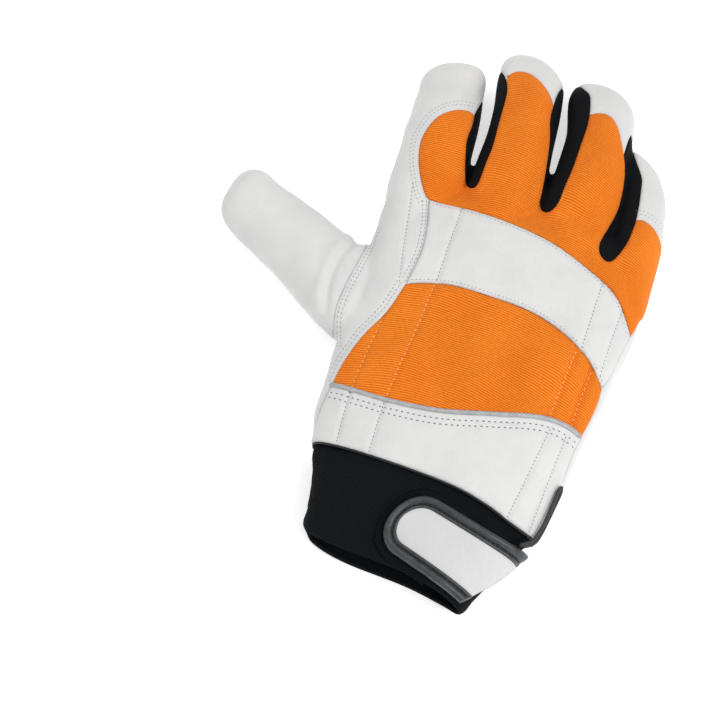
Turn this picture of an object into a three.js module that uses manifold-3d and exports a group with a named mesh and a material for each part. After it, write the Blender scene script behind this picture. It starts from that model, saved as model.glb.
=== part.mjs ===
// A right-hand protective work glove with a knit wrist, lying palm down. Millimetres, +Z up.
// Fingers point along +Y and the thumb points along -X. The origin is under the middle of the glove, on the floor.
import * as THREE from 'three';
import Module from 'manifold-3d';
import { mergeVertices } from 'three/addons/utils/BufferGeometryUtils.js';

const wasm = await Module();
wasm.setup();

// Overall sizes
const palmBreadth = 132;
const handLength = 140; // from the knit wrist's seam to the roots of the fingers
const handThickness = 39;
const cuffLength = 50;
const cuffBreadth = 116;
const cuffThickness = 33;
const thumbLength = 95;
const thumbWidth = 36;
const thumbThickness = 29;

// Walls and seams
const leatherWall = 1.6;
const backingWall = 3.2; // padded textile and leather on the back of the hand
const fourchetteWall = 1.4;
const knitWall = 2.2;
const strapWall = 2.0;
const patchWall = 0.8;
const backProud = 0.9; // how far the padded back stands above the palm leather's surface
const bandProud = 1.3; // how far the knuckle band stands above it
const cuffInset = 0.9; // how far the knit wrist lies inside the leather's outline
const seamGap = 0.3;
const layerGap = 0.75; // between the knit, the fastening patch and the strap that lie on each other

// Trim
const pipingWidth = 1.9;
const pipingProud = 1.7;
const bindingWidth = 6;
const bindingThickness = 3.2;
const strapLength = 62;
const strapTipWidth = 16.5;
const strapRootWidth = 24;
const strapTurn = -9; // degrees from the wrist's crosswise direction
const patchMargin = 4.5; // rim of the fastening patch that shows round the strap's tip
const loopLength = 34;
const loopGap = 1.8;
const loopThickness = 1.5;
const loopWidth = 2.2;
const loopStart = { x: 0.445, y: -0.145 }; // arc and distance along, as shares of palmBreadth and handLength

// Fineness of the lofts
const handSides = 26;
const fingerSides = 16;
const hollowShare = 0.6; // sides of the hollows, as a share of the outside's sides
const seamSteps = 3;

const lerp = THREE.MathUtils.lerp;
const radians = THREE.MathUtils.degToRad;

// Sections of the hand from the wrist to the knuckles, as shares of handLength, palmBreadth and handThickness.
const handSections = [
  { along: -0.2, shift: -0.006, breadth: 0.88, top: 0.84, bottom: -0.02 },
  { along: 0.015, shift: -0.006, breadth: 0.9, top: 0.88, bottom: -0.03 },
  { along: 0.11, shift: -0.017, breadth: 0.936, top: 0.91, bottom: -0.05 },
  { along: 0.26, shift: -0.015, breadth: 0.947, top: 0.95, bottom: -0.05 },
  { along: 0.46, shift: -0.02, breadth: 0.962, top: 0.98, bottom: -0.05 },
  { along: 0.62, shift: -0.008, breadth: 0.985, top: 1.0, bottom: -0.05 },
  { along: 0.77, shift: 0.006, breadth: 1.0, top: 1.02, bottom: -0.04 },
  { along: 0.9, shift: 0.004, breadth: 0.99, top: 0.96, bottom: 0.02 },
  { along: 0.98, shift: 0.002, breadth: 0.93, top: 0.8, bottom: 0.12 },
  { along: 1.03, shift: 0.0, breadth: 0.84, top: 0.62, bottom: 0.26 },
];

// Sections of the knit wrist from its seam to its hem, as shares of cuffLength, cuffBreadth and cuffThickness.
const cuffSections = [
  { along: -0.34, shift: -0.004, breadth: 1.01, top: 1.02, bottom: 0.0 },
  { along: 0.05, shift: -0.005, breadth: 1.011, top: 1.0, bottom: -0.02 },
  { along: 0.25, shift: -0.01, breadth: 0.945, top: 0.96, bottom: -0.03 },
  { along: 0.42, shift: -0.03, breadth: 0.878, top: 0.92, bottom: -0.03 },
  { along: 0.62, shift: -0.055, breadth: 0.814, top: 0.88, bottom: -0.03 },
  { along: 0.82, shift: -0.08, breadth: 0.742, top: 0.82, bottom: -0.03 },
  { along: 1.0, shift: -0.099, breadth: 0.667, top: 0.78, bottom: -0.02 },
  { along: 1.2, shift: -0.125, breadth: 0.59, top: 0.72, bottom: 0.0 },
  { along: 1.45, shift: -0.145, breadth: 0.52, top: 0.66, bottom: 0.0 },
];

// Fingers. Roots are shares of palmBreadth and handLength, turn is degrees to the right of straight ahead.
// Section rows: along and sway are shares of the finger's length and width, rise of handThickness,
// wide and thick of the finger's own width and thickness. left and right say where the textile back ends,
// as shares of half the width.
const fingers = [
  {
    name: 'index', rootX: -0.364, rootY: 0.8, turn: -3.0, length: 95, width: 34, thickness: 27,
    capLeft: 0.48, capTop: 0.69, capRight: 0.67, stripLeft: 0, stripRight: 0.84,
    sections: [
      { along: 0.0, sway: 0.06, rise: 0.5, wide: 0.86, thick: 1.12, left: 0.3, right: 0.9 },
      { along: 0.16, sway: 0.02, rise: 0.53, wide: 1.0, thick: 1.14, left: 0.22, right: 0.92 },
      { along: 0.32, sway: 0.0, rise: 0.55, wide: 1.03, thick: 1.1, left: -0.3, right: 0.88 },
      { along: 0.5, sway: -0.01, rise: 0.54, wide: 0.98, thick: 1.03, left: -0.44, right: 0.84 },
      { along: 0.68, sway: -0.02, rise: 0.47, wide: 0.95, thick: 0.98, left: -0.36, right: 0.88 },
      { along: 0.84, sway: -0.05, rise: 0.37, wide: 0.98, thick: 0.9, left: -0.3, right: 0.94 },
      { along: 1.0, sway: -0.03, rise: 0.28, wide: 0.95, thick: 0.82, left: -0.3, right: 0.94 },
    ],
  },
  {
    name: 'middle', rootX: -0.091, rootY: 0.8, turn: -4.6, length: 110, width: 34, thickness: 27,
    capLeft: 0.8, capTop: 0.885, capRight: 0.76, stripLeft: 0.89, stripRight: 0.85,
    sections: [
      { along: 0.0, sway: 0.0, rise: 0.5, wide: 0.98, thick: 1.14, left: -0.75, right: 0.96 },
      { along: 0.25, sway: 0.05, rise: 0.56, wide: 1.07, thick: 1.12, left: -0.72, right: 0.98 },
      { along: 0.42, sway: 0.07, rise: 0.57, wide: 1.02, thick: 1.03, left: -0.6, right: 0.97 },
      { along: 0.58, sway: 0.1, rise: 0.54, wide: 0.99, thick: 0.99, left: -0.57, right: 0.88 },
      { along: 0.72, sway: 0.08, rise: 0.47, wide: 0.96, thick: 0.95, left: -0.62, right: 0.8 },
      { along: 0.86, sway: 0.02, rise: 0.37, wide: 0.93, thick: 0.88, left: -0.7, right: 0.82 },
      { along: 1.0, sway: 0.0, rise: 0.28, wide: 0.88, thick: 0.8, left: -0.75, right: 0.88 },
    ],
  },
  {
    name: 'ring', rootX: 0.182, rootY: 0.8, turn: -5.4, length: 106, width: 33, thickness: 26,
    capLeft: 0.79, capTop: 0.825, capRight: 0.68, stripLeft: 0.93, stripRight: 0.8,
    sections: [
      { along: 0.0, sway: 0.0, rise: 0.5, wide: 1.0, thick: 1.16, left: -0.5, right: 0.94 },
      { along: 0.24, sway: 0.07, rise: 0.56, wide: 1.1, thick: 1.14, left: -0.46, right: 0.97 },
      { along: 0.4, sway: 0.115, rise: 0.57, wide: 1.06, thick: 1.05, left: -0.4, right: 0.98 },
      { along: 0.57, sway: 0.12, rise: 0.54, wide: 1.01, thick: 1.0, left: -0.4, right: 0.96 },
      { along: 0.72, sway: 0.13, rise: 0.47, wide: 0.98, thick: 0.95, left: -0.4, right: 0.84 },
      { along: 0.86, sway: 0.1, rise: 0.38, wide: 0.93, thick: 0.88, left: -0.42, right: 0.84 },
      { along: 1.0, sway: 0.03, rise: 0.3, wide: 0.86, thick: 0.8, left: -0.5, right: 0.88 },
    ],
  },
  {
    name: 'little', rootX: 0.409, rootY: 0.74, turn: -6.6, length: 85, width: 27, thickness: 24,
    capLeft: 0.53, capTop: 0.585, capRight: 0.5, stripLeft: 0.86, stripRight: 0,
    sections: [
      { along: 0.0, sway: -0.06, rise: 0.48, wide: 0.86, thick: 1.16, left: -0.5, right: 1.3 },
      { along: 0.2, sway: 0.1, rise: 0.51, wide: 1.02, thick: 1.16, left: -0.45, right: 1.3 },
      { along: 0.36, sway: 0.2, rise: 0.52, wide: 0.94, thick: 1.08, left: -0.3, right: 1.3 },
      { along: 0.52, sway: 0.235, rise: 0.49, wide: 0.86, thick: 1.0, left: -0.14, right: 1.3 },
      { along: 0.68, sway: 0.23, rise: 0.42, wide: 0.8, thick: 0.95, left: -0.3, right: 1.3 },
      { along: 0.84, sway: 0.15, rise: 0.35, wide: 0.76, thick: 0.9, left: -0.5, right: 1.3 },
      { along: 1.0, sway: 0.06, rise: 0.3, wide: 0.72, thick: 0.84, left: -0.6, right: 1.3 },
    ],
  },
];
const thumb = {
  rootX: -0.405, rootY: 0.53, turn: -65.3, length: thumbLength, width: thumbWidth, thickness: thumbThickness,
  sections: [
    { along: 0.0, sway: 0.0, rise: 0.4, wide: 1.25, thick: 1.0 },
    { along: 0.16, sway: 0.0, rise: 0.4, wide: 1.32, thick: 1.06 },
    { along: 0.32, sway: 0.02, rise: 0.38, wide: 1.2, thick: 1.02 },
    { along: 0.5, sway: 0.02, rise: 0.36, wide: 1.05, thick: 0.96 },
    { along: 0.68, sway: 0.0, rise: 0.35, wide: 0.93, thick: 0.92 },
    { along: 0.84, sway: -0.03, rise: 0.34, wide: 0.85, thick: 0.9 },
    { along: 1.0, sway: 0.03, rise: 0.32, wide: 0.82, thick: 0.84 },
  ],
};
const tipShare = 0.15; // share of a finger's length over which its tip rounds off
const tipRings = 3;
const fingerSpacing = 16; // distance between two rings along a finger

// Seams on the back of the hand, as shares of palmBreadth across and handLength along.
const bandTop = [
  { across: -0.34, along: 0.913 }, { across: -0.11, along: 0.918 }, { across: 0.1, along: 0.893 },
  { across: 0.27, along: 0.838 }, { across: 0.4, along: 0.78 }, { across: 0.475, along: 0.7 },
  { across: 0.56, along: 0.58 },
];
const bandBottom = [
  { across: -0.314, along: 0.6 }, { across: -0.17, along: 0.634 }, { across: -0.02, along: 0.636 },
  { across: 0.15, along: 0.625 }, { across: 0.3, along: 0.58 }, { across: 0.41, along: 0.515 },
  { across: 0.54, along: 0.37 },
];
const bandLeft = [
  { across: -0.34, along: 0.913 }, { across: -0.312, along: 0.82 }, { across: -0.3, along: 0.72 },
  { across: -0.314, along: 0.6 },
];
const backLeft = [
  { across: -0.314, along: 0.6 }, { across: -0.345, along: 0.49 }, { across: -0.4, along: 0.39 },
  { across: -0.436, along: 0.29 }, { across: -0.45, along: 0.205 },
];
const pipingLine = [
  { across: -0.45, along: 0.203 }, { across: -0.25, along: 0.193 }, { across: -0.06, along: 0.208 },
  { across: 0.12, along: 0.25 }, { across: 0.3, along: 0.296 }, { across: 0.42, along: 0.293 },
  { across: 0.56, along: 0.25 },
];
const wristLeft = [{ across: -0.45, along: 0.203 }, { across: -0.46, along: 0.1 }, { across: -0.455, along: -0.1 }];
const cuffSeam = [
  { across: -0.62, along: 0.014 }, { across: -0.25, along: 0.003 }, { across: 0.05, along: -0.012 },
  { across: 0.2, along: -0.038 }, { across: 0.36, along: -0.08 }, { across: 0.6, along: -0.09 },
];
const thumbSeam = [
  { across: -0.47, along: 0.81 }, { across: -0.51, along: 0.66 }, { across: -0.53, along: 0.54 },
  { across: -0.52, along: 0.44 }, { across: -0.47, along: 0.33 },
];
// The rounded ends of the black fork strips on the back, with their radius in millimetres.
const forks = [
  { between: ['index', 'middle'], across: -0.208, along: 1.02, radius: 5.2 },
  { between: ['middle', 'ring'], across: 0.077, along: 1.008, radius: 5.6 },
  { between: ['ring', 'little'], across: 0.343, along: 0.905, radius: 5.2 },
];
// The knit wrist's hem, as shares of cuffBreadth across and cuffLength along.
const hem = [
  { across: -0.55, along: -0.66 }, { across: -0.45, along: -0.74 }, { across: -0.4, along: -0.82 },
  { across: -0.26, along: -0.88 }, { across: 0.0, along: -0.92 }, { across: 0.17, along: -1.0 },
  { across: 0.29, along: -1.1 }, { across: 0.5, along: -1.22 },
];

// A table's column at any place along it, on a smooth curve through its rows.
function columnAt(rows, column, along) {
  const last = rows.length - 1;
  if (along <= rows[0].along) return rows[0][column];
  if (along >= rows[last].along) return rows[last][column];
  const i = rows.findIndex((row) => row.along > along) - 1;
  const slope = (k) => {
    const a = rows[Math.max(k - 1, 0)];
    const b = rows[Math.min(k + 1, last)];
    return (b[column] - a[column]) / (b.along - a.along);
  };
  const span = rows[i + 1].along - rows[i].along;
  const t = (along - rows[i].along) / span;
  const ends = rows[i][column] * (1 + 2 * t) * (1 - t) ** 2 + rows[i + 1][column] * t * t * (3 - 2 * t);
  return ends + span * (slope(i) * t * (1 - t) ** 2 - slope(i + 1) * t * t * (1 - t));
}

// A ring of points on a rounded section in the plane of two unit vectors.
function roundRing({ centre, side, up, halfWidth, halfHeight }, sides, squareness) {
  return Array.from({ length: sides }, (_, i) => {
    const angle = (i / sides) * 2 * Math.PI;
    const c = Math.cos(angle);
    const s = Math.sin(angle);
    const u = Math.sign(c) * Math.abs(c) ** (2 / squareness) * halfWidth;
    const v = Math.sign(s) * Math.abs(s) ** (2 / squareness) * halfHeight;
    return centre.clone().addScaledVector(side, u).addScaledVector(up, v);
  });
}

// A closed solid through rings that each have the same number of points.
function loft(rings) {
  const count = rings[0].length;
  const points = rings.flat();
  const faces = [];
  for (let r = 0; r + 1 < rings.length; r++) {
    for (let i = 0; i < count; i++) {
      const a = r * count + i;
      const b = r * count + ((i + 1) % count);
      faces.push(a, b, b + count, a, b + count, a + count);
    }
  }
  [0, rings.length - 1].forEach((r) => {
    const hub = new THREE.Vector3();
    rings[r].forEach((p) => hub.addScaledVector(p, 1 / count));
    points.push(hub);
    for (let i = 0; i < count; i++) {
      const a = r * count + i;
      const b = r * count + ((i + 1) % count);
      faces.push(...(r === 0 ? [b, a, points.length - 1] : [a, b, points.length - 1]));
    }
  });
  return solidFromMesh(points.flatMap((p) => [p.x, p.y, p.z]), faces);
}

function solidFromMesh(coordinates, faces) {
  const mesh = new wasm.Mesh({
    numProp: 3,
    vertProperties: new Float32Array(coordinates),
    triVerts: new Uint32Array(faces),
  });
  const solid = new wasm.Manifold(mesh);
  if (solid.volume() > 0) return solid;
  for (let i = 0; i < faces.length; i += 3) [faces[i + 1], faces[i + 2]] = [faces[i + 2], faces[i + 1]];
  return new wasm.Manifold(new wasm.Mesh({ ...mesh, numProp: 3, triVerts: new Uint32Array(faces) }));
}

function solidFromGeometry(geometry) {
  const bare = geometry.index ? geometry.toNonIndexed() : geometry.clone();
  bare.deleteAttribute('normal');
  bare.deleteAttribute('uv');
  const merged = mergeVertices(bare, 1e-4);
  return solidFromMesh([...merged.attributes.position.array], [...merged.index.array]);
}

const joined = (solids) => solids.reduce((a, b) => a.add(b));

// Lofts of the hand and the knit wrist: sections square to +Y.
const handY = (along) => along * handLength;
const cuffY = (along) => -along * cuffLength;

function flatSection(rows, along, y, breadth, thickness, offset) {
  const top = columnAt(rows, 'top', along) * thickness;
  const bottom = columnAt(rows, 'bottom', along) * thickness;
  return {
    centre: new THREE.Vector3(columnAt(rows, 'shift', along) * breadth, y, (top + bottom) / 2),
    side: new THREE.Vector3(1, 0, 0),
    up: new THREE.Vector3(0, 0, 1),
    halfWidth: (columnAt(rows, 'breadth', along) * breadth) / 2 + offset,
    halfHeight: (top - bottom) / 2 + offset,
  };
}

const handSquareness = 2.7;
const cuffSquareness = 2.5;
const fingerSquareness = 2.25;

const sidesOf = (sides, offset) => (offset < 0 ? Math.round((sides * hollowShare) / 4) * 4 : sides);

function handSectionAt(along, offset) {
  return flatSection(handSections, along, handY(along), palmBreadth, handThickness, offset);
}

function handLoft(offset) {
  const rings = handSections.map(({ along }) => {
    const section = handSectionAt(along, offset);
    if (along === handSections.at(-1).along) section.centre.y += offset;
    return roundRing(section, sidesOf(handSides, offset), handSquareness);
  });
  return loft(rings);
}

function cuffSectionAt(along, offset) {
  return flatSection(cuffSections, along, cuffY(along), cuffBreadth, cuffThickness, offset);
}

function cuffLoft(offset) {
  const rings = cuffSections.map(({ along }) => roundRing(cuffSectionAt(along, offset), handSides, cuffSquareness));
  return loft(rings);
}

// The frame of a finger at a share of its length: centre, side and up vectors and half sizes.
function fingerFrame(finger, along) {
  const turn = radians(finger.turn);
  const ahead = new THREE.Vector3(Math.sin(turn), Math.cos(turn), 0);
  const across = new THREE.Vector3(Math.cos(turn), -Math.sin(turn), 0);
  const centreAt = (t) =>
    new THREE.Vector3(finger.rootX * palmBreadth, finger.rootY * handLength, 0)
      .addScaledVector(ahead, t * finger.length)
      .addScaledVector(across, columnAt(finger.sections, 'sway', t) * finger.width)
      .setZ(columnAt(finger.sections, 'rise', t) * handThickness);
  const step = 0.02;
  const tangent = centreAt(Math.min(along + step, 1)).sub(centreAt(Math.max(along - step, 0))).normalize();
  const side = new THREE.Vector3(tangent.y, -tangent.x, 0).normalize();
  return {
    centre: centreAt(along),
    side,
    up: side.clone().cross(tangent),
    halfWidth: (columnAt(finger.sections, 'wide', along) * finger.width) / 2,
    halfHeight: (columnAt(finger.sections, 'thick', along) * finger.thickness) / 2,
    tangent,
  };
}

// How much a section shrinks near the tip, so that the end is round.
function tipShrink(along) {
  const into = Math.max(0, (along - (1 - tipShare)) / tipShare);
  return Math.sqrt(Math.max(0, 1 - into ** 2.2));
}

function fingerStations(finger) {
  const straight = Math.round((finger.length * (1 - tipShare)) / fingerSpacing);
  const body = Array.from({ length: straight + 1 }, (_, i) => (i / straight) * (1 - tipShare));
  const tip = Array.from({ length: tipRings }, (_, i) => {
    const angle = ((i + 1) / (tipRings + 0.35)) * (Math.PI / 2);
    return 1 - tipShare + tipShare * Math.sin(angle);
  });
  return [...body, ...tip];
}

function fingerLoft(finger, offset) {
  const rings = fingerStations(finger).map((along) => {
    const frame = fingerFrame(finger, along);
    const shrink = tipShrink(along);
    frame.halfWidth = Math.max((frame.halfWidth + offset) * shrink, 0.5);
    frame.halfHeight = Math.max((frame.halfHeight + offset) * shrink, 0.5);
    if (along > 1 - tipShare) frame.centre.addScaledVector(frame.tangent, offset * (1 - shrink));
    return roundRing(frame, sidesOf(fingerSides, offset), fingerSquareness);
  });
  return loft(rings);
}

// Cutters
const tall = 3 * handThickness;
const wide = 3 * palmBreadth;

function block(sizeX, sizeY, sizeZ, x, y, z) {
  return solidFromGeometry(new THREE.BoxGeometry(sizeX, sizeY, sizeZ).translate(x, y, z));
}

function prism(outline) {
  const shape = new THREE.Shape(outline);
  return solidFromGeometry(new THREE.ExtrudeGeometry(shape, { depth: tall, bevelEnabled: false }).translate(0, 0, -handThickness));
}

function seamCurve(rows, breadth = palmBreadth, length = handLength) {
  const points = rows.map((row) => new THREE.Vector2(row.across * breadth, row.along * length));
  return new THREE.SplineCurve(points).getPoints((rows.length - 1) * seamSteps);
}

// Moves each point of a closed outline outwards by a distance.
function grown(outline, distance) {
  const turnsLeft = THREE.ShapeUtils.area(outline) > 0 ? 1 : -1;
  return outline.map((point, i) => {
    const before = outline[(i + outline.length - 1) % outline.length];
    const after = outline[(i + 1) % outline.length];
    const normals = [[before, point], [point, after]].map(([a, b]) => {
      const along = b.clone().sub(a).normalize();
      return new THREE.Vector2(along.y, -along.x).multiplyScalar(turnsLeft);
    });
    const sum = normals[0].clone().add(normals[1]);
    const miter = sum.length() < 0.5 ? normals[0] : sum.multiplyScalar(2 / sum.lengthSq());
    return point.clone().addScaledVector(miter, distance);
  });
}

// Everything of a finger above a share of its half thickness, in its own bent frame.
function aboveFinger(finger, level, extra) {
  const rings = fingerStations(finger).map((along) => {
    const frame = fingerFrame(finger, along);
    const low = level * frame.halfHeight - extra;
    const reach = frame.halfWidth + backProud + seamGap + extra;
    const corner = (u, v) => frame.centre.clone().addScaledVector(frame.side, u).addScaledVector(frame.up, v);
    return [corner(-reach, low), corner(reach, low), corner(reach, handThickness), corner(-reach, handThickness)];
  });
  const beyond = rings.at(-1).map((p) => p.clone().addScaledVector(fingerFrame(finger, 1).tangent, 2 + extra));
  return loft([...rings, beyond]);
}

const backLevel = 0.42; // share of the hand's thickness where the back meets the palm leather at the sides
function aboveHand(extra) {
  const low = backLevel * handThickness - extra;
  const y0 = handY(-0.3) - extra;
  const y1 = handY(1.03) + extra;
  return block(wide, y1 - y0, tall, 0, (y0 + y1) / 2, low + tall / 2);
}

// Shells
const floorCut = block(4 * wide, 4 * wide, tall, 0, 0, -tall / 2);
const wristCut = block(wide, handLength, 2 * tall, 0, handY(-0.16) - handLength / 2, 0);

const skins = new Map();
function skin(offset) {
  if (!skins.has(offset)) {
    const fingersAndHand = [handLoft(offset), fingerLoft(thumb, Math.min(offset, 0)), ...fingers.map((f) => fingerLoft(f, offset))];
    skins.set(offset, joined(fingersAndHand));
  }
  return skins.get(offset);
}

function shell(outside, wall) {
  const floorOfHollow = block(4 * wide, 4 * wide, tall, 0, 0, wall - tall / 2);
  const inside = skin(-wall).subtract(floorOfHollow);
  return skin(outside).subtract(inside).subtract(floorCut);
}

// Outlines on the back, in plan. Each is a closed list of points, anticlockwise or clockwise.
const half = seamGap / 2;
const handZone = (outline) => outline;

function edgePoint(finger, along, share, beyond = 0) {
  const frame = fingerFrame(finger, along);
  const reach = share * frame.halfWidth + Math.sign(share) * beyond;
  return new THREE.Vector2(frame.centre.x, frame.centre.y).add(
    new THREE.Vector2(frame.side.x, frame.side.y).multiplyScalar(reach),
  );
}

// The textile back of one finger: up its left edge, over a round end and down its right edge.
function lobeOutline(finger) {
  const rows = finger.sections;
  const left = rows.filter((row) => row.along < finger.capLeft).map((row) => edgePoint(finger, row.along, row.left));
  const right = rows.filter((row) => row.along < finger.capRight).map((row) => edgePoint(finger, row.along, row.right));
  const leftShare = columnAt(rows, 'left', finger.capLeft);
  const rightShare = columnAt(rows, 'right', finger.capRight);
  const crown = [
    edgePoint(finger, finger.capLeft, leftShare),
    edgePoint(finger, lerp(finger.capLeft, finger.capTop, 0.72), lerp(leftShare, rightShare, 0.14)),
    edgePoint(finger, finger.capTop, lerp(leftShare, rightShare, 0.42)),
    edgePoint(finger, lerp(finger.capTop, finger.capRight, 0.3), lerp(leftShare, rightShare, 0.8)),
    edgePoint(finger, finger.capRight, rightShare),
  ];
  const arch = new THREE.SplineCurve(crown).getPoints(12);
  return [...left, ...arch, ...right.reverse()];
}

// One black strip along a finger's side, from the fork's round end to the strip's own end.
function stripOutline(finger, fork, column, endShare) {
  const sign = column === 'left' ? -1 : 1;
  const startShare = (fork.along * handLength - finger.rootY * handLength) / finger.length;
  const stations = [];
  for (let i = 0; i <= 6; i++) stations.push(lerp(startShare, endShare, i / 6));
  const inner = stations.map((along) => edgePoint(finger, along, columnAt(finger.sections, column, along)));
  const outer = stations.map((along) => edgePoint(finger, along, sign, 2 * seamGap)).reverse();
  return [...inner, ...outer];
}

function forkDisc(fork, extra) {
  const centre = new THREE.Vector2(fork.across * palmBreadth, fork.along * handLength);
  return Array.from({ length: 16 }, (_, i) => {
    const angle = (i / 16) * 2 * Math.PI;
    return new THREE.Vector2(Math.cos(angle), Math.sin(angle)).multiplyScalar(fork.radius + extra).add(centre);
  });
}

const fourchetteLevel = -0.5; // share of a finger's half thickness where the black strip meets the palm leather
const byName = Object.fromEntries(fingers.map((finger) => [finger.name, finger]));

// The cutter of one fork: two strips on the facing sides of two fingers, and the round end between them.
function forkCutter(fork, extra) {
  const [a, b] = fork.between.map((name) => byName[name]);
  const strips = [
    [a, stripOutline(a, fork, 'right', a.stripRight)],
    [b, stripOutline(b, fork, 'left', b.stripLeft)],
  ].map(([finger, outline]) =>
    prism(grown(outline, extra)).intersect(aboveFinger(finger, fourchetteLevel, extra)),
  );
  const webTop = fork.along * handLength + 0.13 * handLength;
  const lowest = (1 + fourchetteLevel) * 0.5 * fingers[0].thickness - extra;
  const aOuter = edgePoint(a, (webTop - a.rootY * handLength) / a.length, 1);
  const bOuter = edgePoint(b, (webTop - b.rootY * handLength) / b.length, -1);
  const disc = forkDisc(fork, extra);
  const web = grown([disc[0], disc[8], aOuter, bOuter], extra);
  const webPrism = prism(disc).add(prism(web)).intersect(block(wide, 2 * wide, tall, 0, 0, lowest + tall / 2));
  return joined([webPrism, ...strips]);
}

function fork3D(extra) {
  return forks.map((fork) => forkCutter(fork, extra));
}

const bandTopLine = seamCurve(bandTop);
const bandBottomLine = seamCurve(bandBottom);
const pipingCurve = seamCurve(pipingLine);
const bandOutline = [...bandTopLine, ...[...bandBottomLine].reverse(), ...seamCurve(bandLeft).reverse().slice(1, -1)];
const backOutline = [...bandBottomLine, ...[...pipingCurve].reverse(), ...seamCurve(backLeft).reverse().slice(1, -1)];
const seamOfCuff = seamCurve(cuffSeam);
const wristOutline = [
  ...pipingCurve,
  new THREE.Vector2(0.56 * palmBreadth, -0.3 * handLength),
  ...seamCurve(wristLeft).reverse().slice(0, -1),
];

const underBand = [
  new THREE.Vector2(-wide, bandTopLine[0].y),
  ...bandTopLine,
  new THREE.Vector2(wide, bandTopLine.at(-1).y),
  new THREE.Vector2(wide, -handLength),
  new THREE.Vector2(-wide, -handLength),
];

// The textile behind the knuckle band's top seam, up to the forks.
const knuckleOutline = [
  ...bandTopLine,
  new THREE.Vector2(0.56 * palmBreadth, 0.95 * handLength),
  edgePoint(byName.little, 0.3, 1.2),
  edgePoint(byName.ring, 0.22, 0.5),
  edgePoint(byName.middle, 0.24, 0),
  edgePoint(byName.index, 0.26, 0),
  edgePoint(byName.index, 0.26, columnAt(byName.index.sections, 'left', 0.26)),
];

// Solids below the cuff's seam on the leather, and above it on the knit.
function pastSeam(extra) {
  const line = seamOfCuff.map((p) => p.clone().add(new THREE.Vector2(0, extra)));
  return prism([...line, new THREE.Vector2(wide, -handLength), new THREE.Vector2(-wide, -handLength)]);
}

const upperHand = aboveHand(-half);
const upperHandGrown = aboveHand(half);
const upperFingers = joined(fingers.map((finger) => aboveFinger(finger, 0, -half)));
const upperFingersGrown = joined(fingers.map((finger) => aboveFinger(finger, 0, half)));
const forkSolids = fork3D(-half);
const forkSolidsGrown = joined(fork3D(half));

const textileZone = (extra, upper) =>
  joined([...fingers.map((finger) => prism(grown(lobeOutline(finger), extra))), prism(grown(knuckleOutline, extra))])
    .subtract(prism(grown(underBand, -extra)))
    .intersect(upper);

const upperAll = upperHand.add(upperFingers);
const upperAllGrown = upperHandGrown.add(upperFingersGrown);

const zones = {
  finger_back_textile: textileZone(-half, upperAll),
  knuckle_band_leather: prism(grown(bandOutline, -half)).intersect(upperHand),
  hand_back_textile: prism(grown(backOutline, -half)).intersect(upperHand),
  wrist_back_leather: prism(grown(wristOutline, -half)).intersect(upperHand),
};
const backZoneGrown = joined([
  textileZone(half, upperAllGrown),
  prism(grown(bandOutline, half)).intersect(upperHandGrown),
  prism(grown(backOutline, half)).intersect(upperHandGrown),
  prism(grown(wristOutline, half)).intersect(upperHandGrown),
]);

// A band of even width along an open curve, in plan.
function ribbon(curve, width) {
  const sides = [1, -1].map((sign) =>
    curve.map((point, i) => {
      const along = curve[Math.min(i + 1, curve.length - 1)].clone().sub(curve[Math.max(i - 1, 0)]).normalize();
      return point.clone().add(new THREE.Vector2(-along.y, along.x).multiplyScalar((sign * width) / 2));
    }),
  );
  return [...sides[0], ...sides[1].reverse()];
}

const pipingZone = prism(ribbon(pipingCurve, pipingWidth)).intersect(upperHand);
const pipingZoneGrown = prism(grown(ribbon(pipingCurve, pipingWidth), seamGap)).intersect(aboveHand(seamGap - half));

const bulk = shell(0, leatherWall).subtract(wristCut).subtract(pastSeam(half));
const paddedBack = shell(backProud, backingWall).subtract(pastSeam(half));
const raisedBand = shell(bandProud, backingWall).subtract(pastSeam(half));

function keepLargest(solid) {
  return solid.decompose().reduce((a, b) => (b.volume() > a.volume() ? b : a));
}

const thumbOutline = [
  ...seamCurve(thumbSeam),
  new THREE.Vector2(-0.6 * palmBreadth, 0.2 * handLength),
  new THREE.Vector2(-wide, 0.2 * handLength),
  new THREE.Vector2(-wide, handLength),
  new THREE.Vector2(-0.6 * palmBreadth, 0.95 * handLength),
];

const solids = {};
solids.thumb_leather = keepLargest(bulk.intersect(prism(grown(thumbOutline, -half))));
solids.palm_leather = keepLargest(
  bulk
    .subtract(prism(grown(thumbOutline, half)))
    .subtract(backZoneGrown)
    .subtract(forkSolidsGrown)
    .subtract(pipingZoneGrown),
);
solids.finger_back_textile = keepLargest(paddedBack.intersect(zones.finger_back_textile).subtract(forkSolidsGrown));
solids.knuckle_band_leather = keepLargest(raisedBand.intersect(zones.knuckle_band_leather));
solids.hand_back_textile = keepLargest(
  paddedBack.intersect(zones.hand_back_textile).subtract(pipingZoneGrown),
);
solids.wrist_back_leather = keepLargest(
  paddedBack.intersect(zones.wrist_back_leather).subtract(pipingZoneGrown),
);
solids.reflective_piping = keepLargest(shell(pipingProud, leatherWall).intersect(pipingZone));
const fourchetteShell = shell(0, fourchetteWall);
forks.forEach((fork, i) => {
  solids[`fourchette_${fork.between.join('_')}`] = keepLargest(fourchetteShell.intersect(forkSolids[i]));
});

// The knit wrist: a tube, cut at the seam and along a slanting hem.
const hemCurve = seamCurve(hem, cuffBreadth, cuffLength);
const pastHem = prism([...hemCurve, new THREE.Vector2(cuffBreadth, -2 * cuffLength), new THREE.Vector2(-cuffBreadth, -2 * cuffLength)]);
const cuffHollow = cuffLoft(-cuffInset - knitWall).subtract(block(4 * wide, 4 * wide, tall, 0, 0, knitWall - tall / 2));
solids.knit_cuff = keepLargest(
  cuffLoft(-cuffInset).subtract(cuffHollow).subtract(floorCut).subtract(pastHem).intersect(pastSeam(-half)),
);

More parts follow.
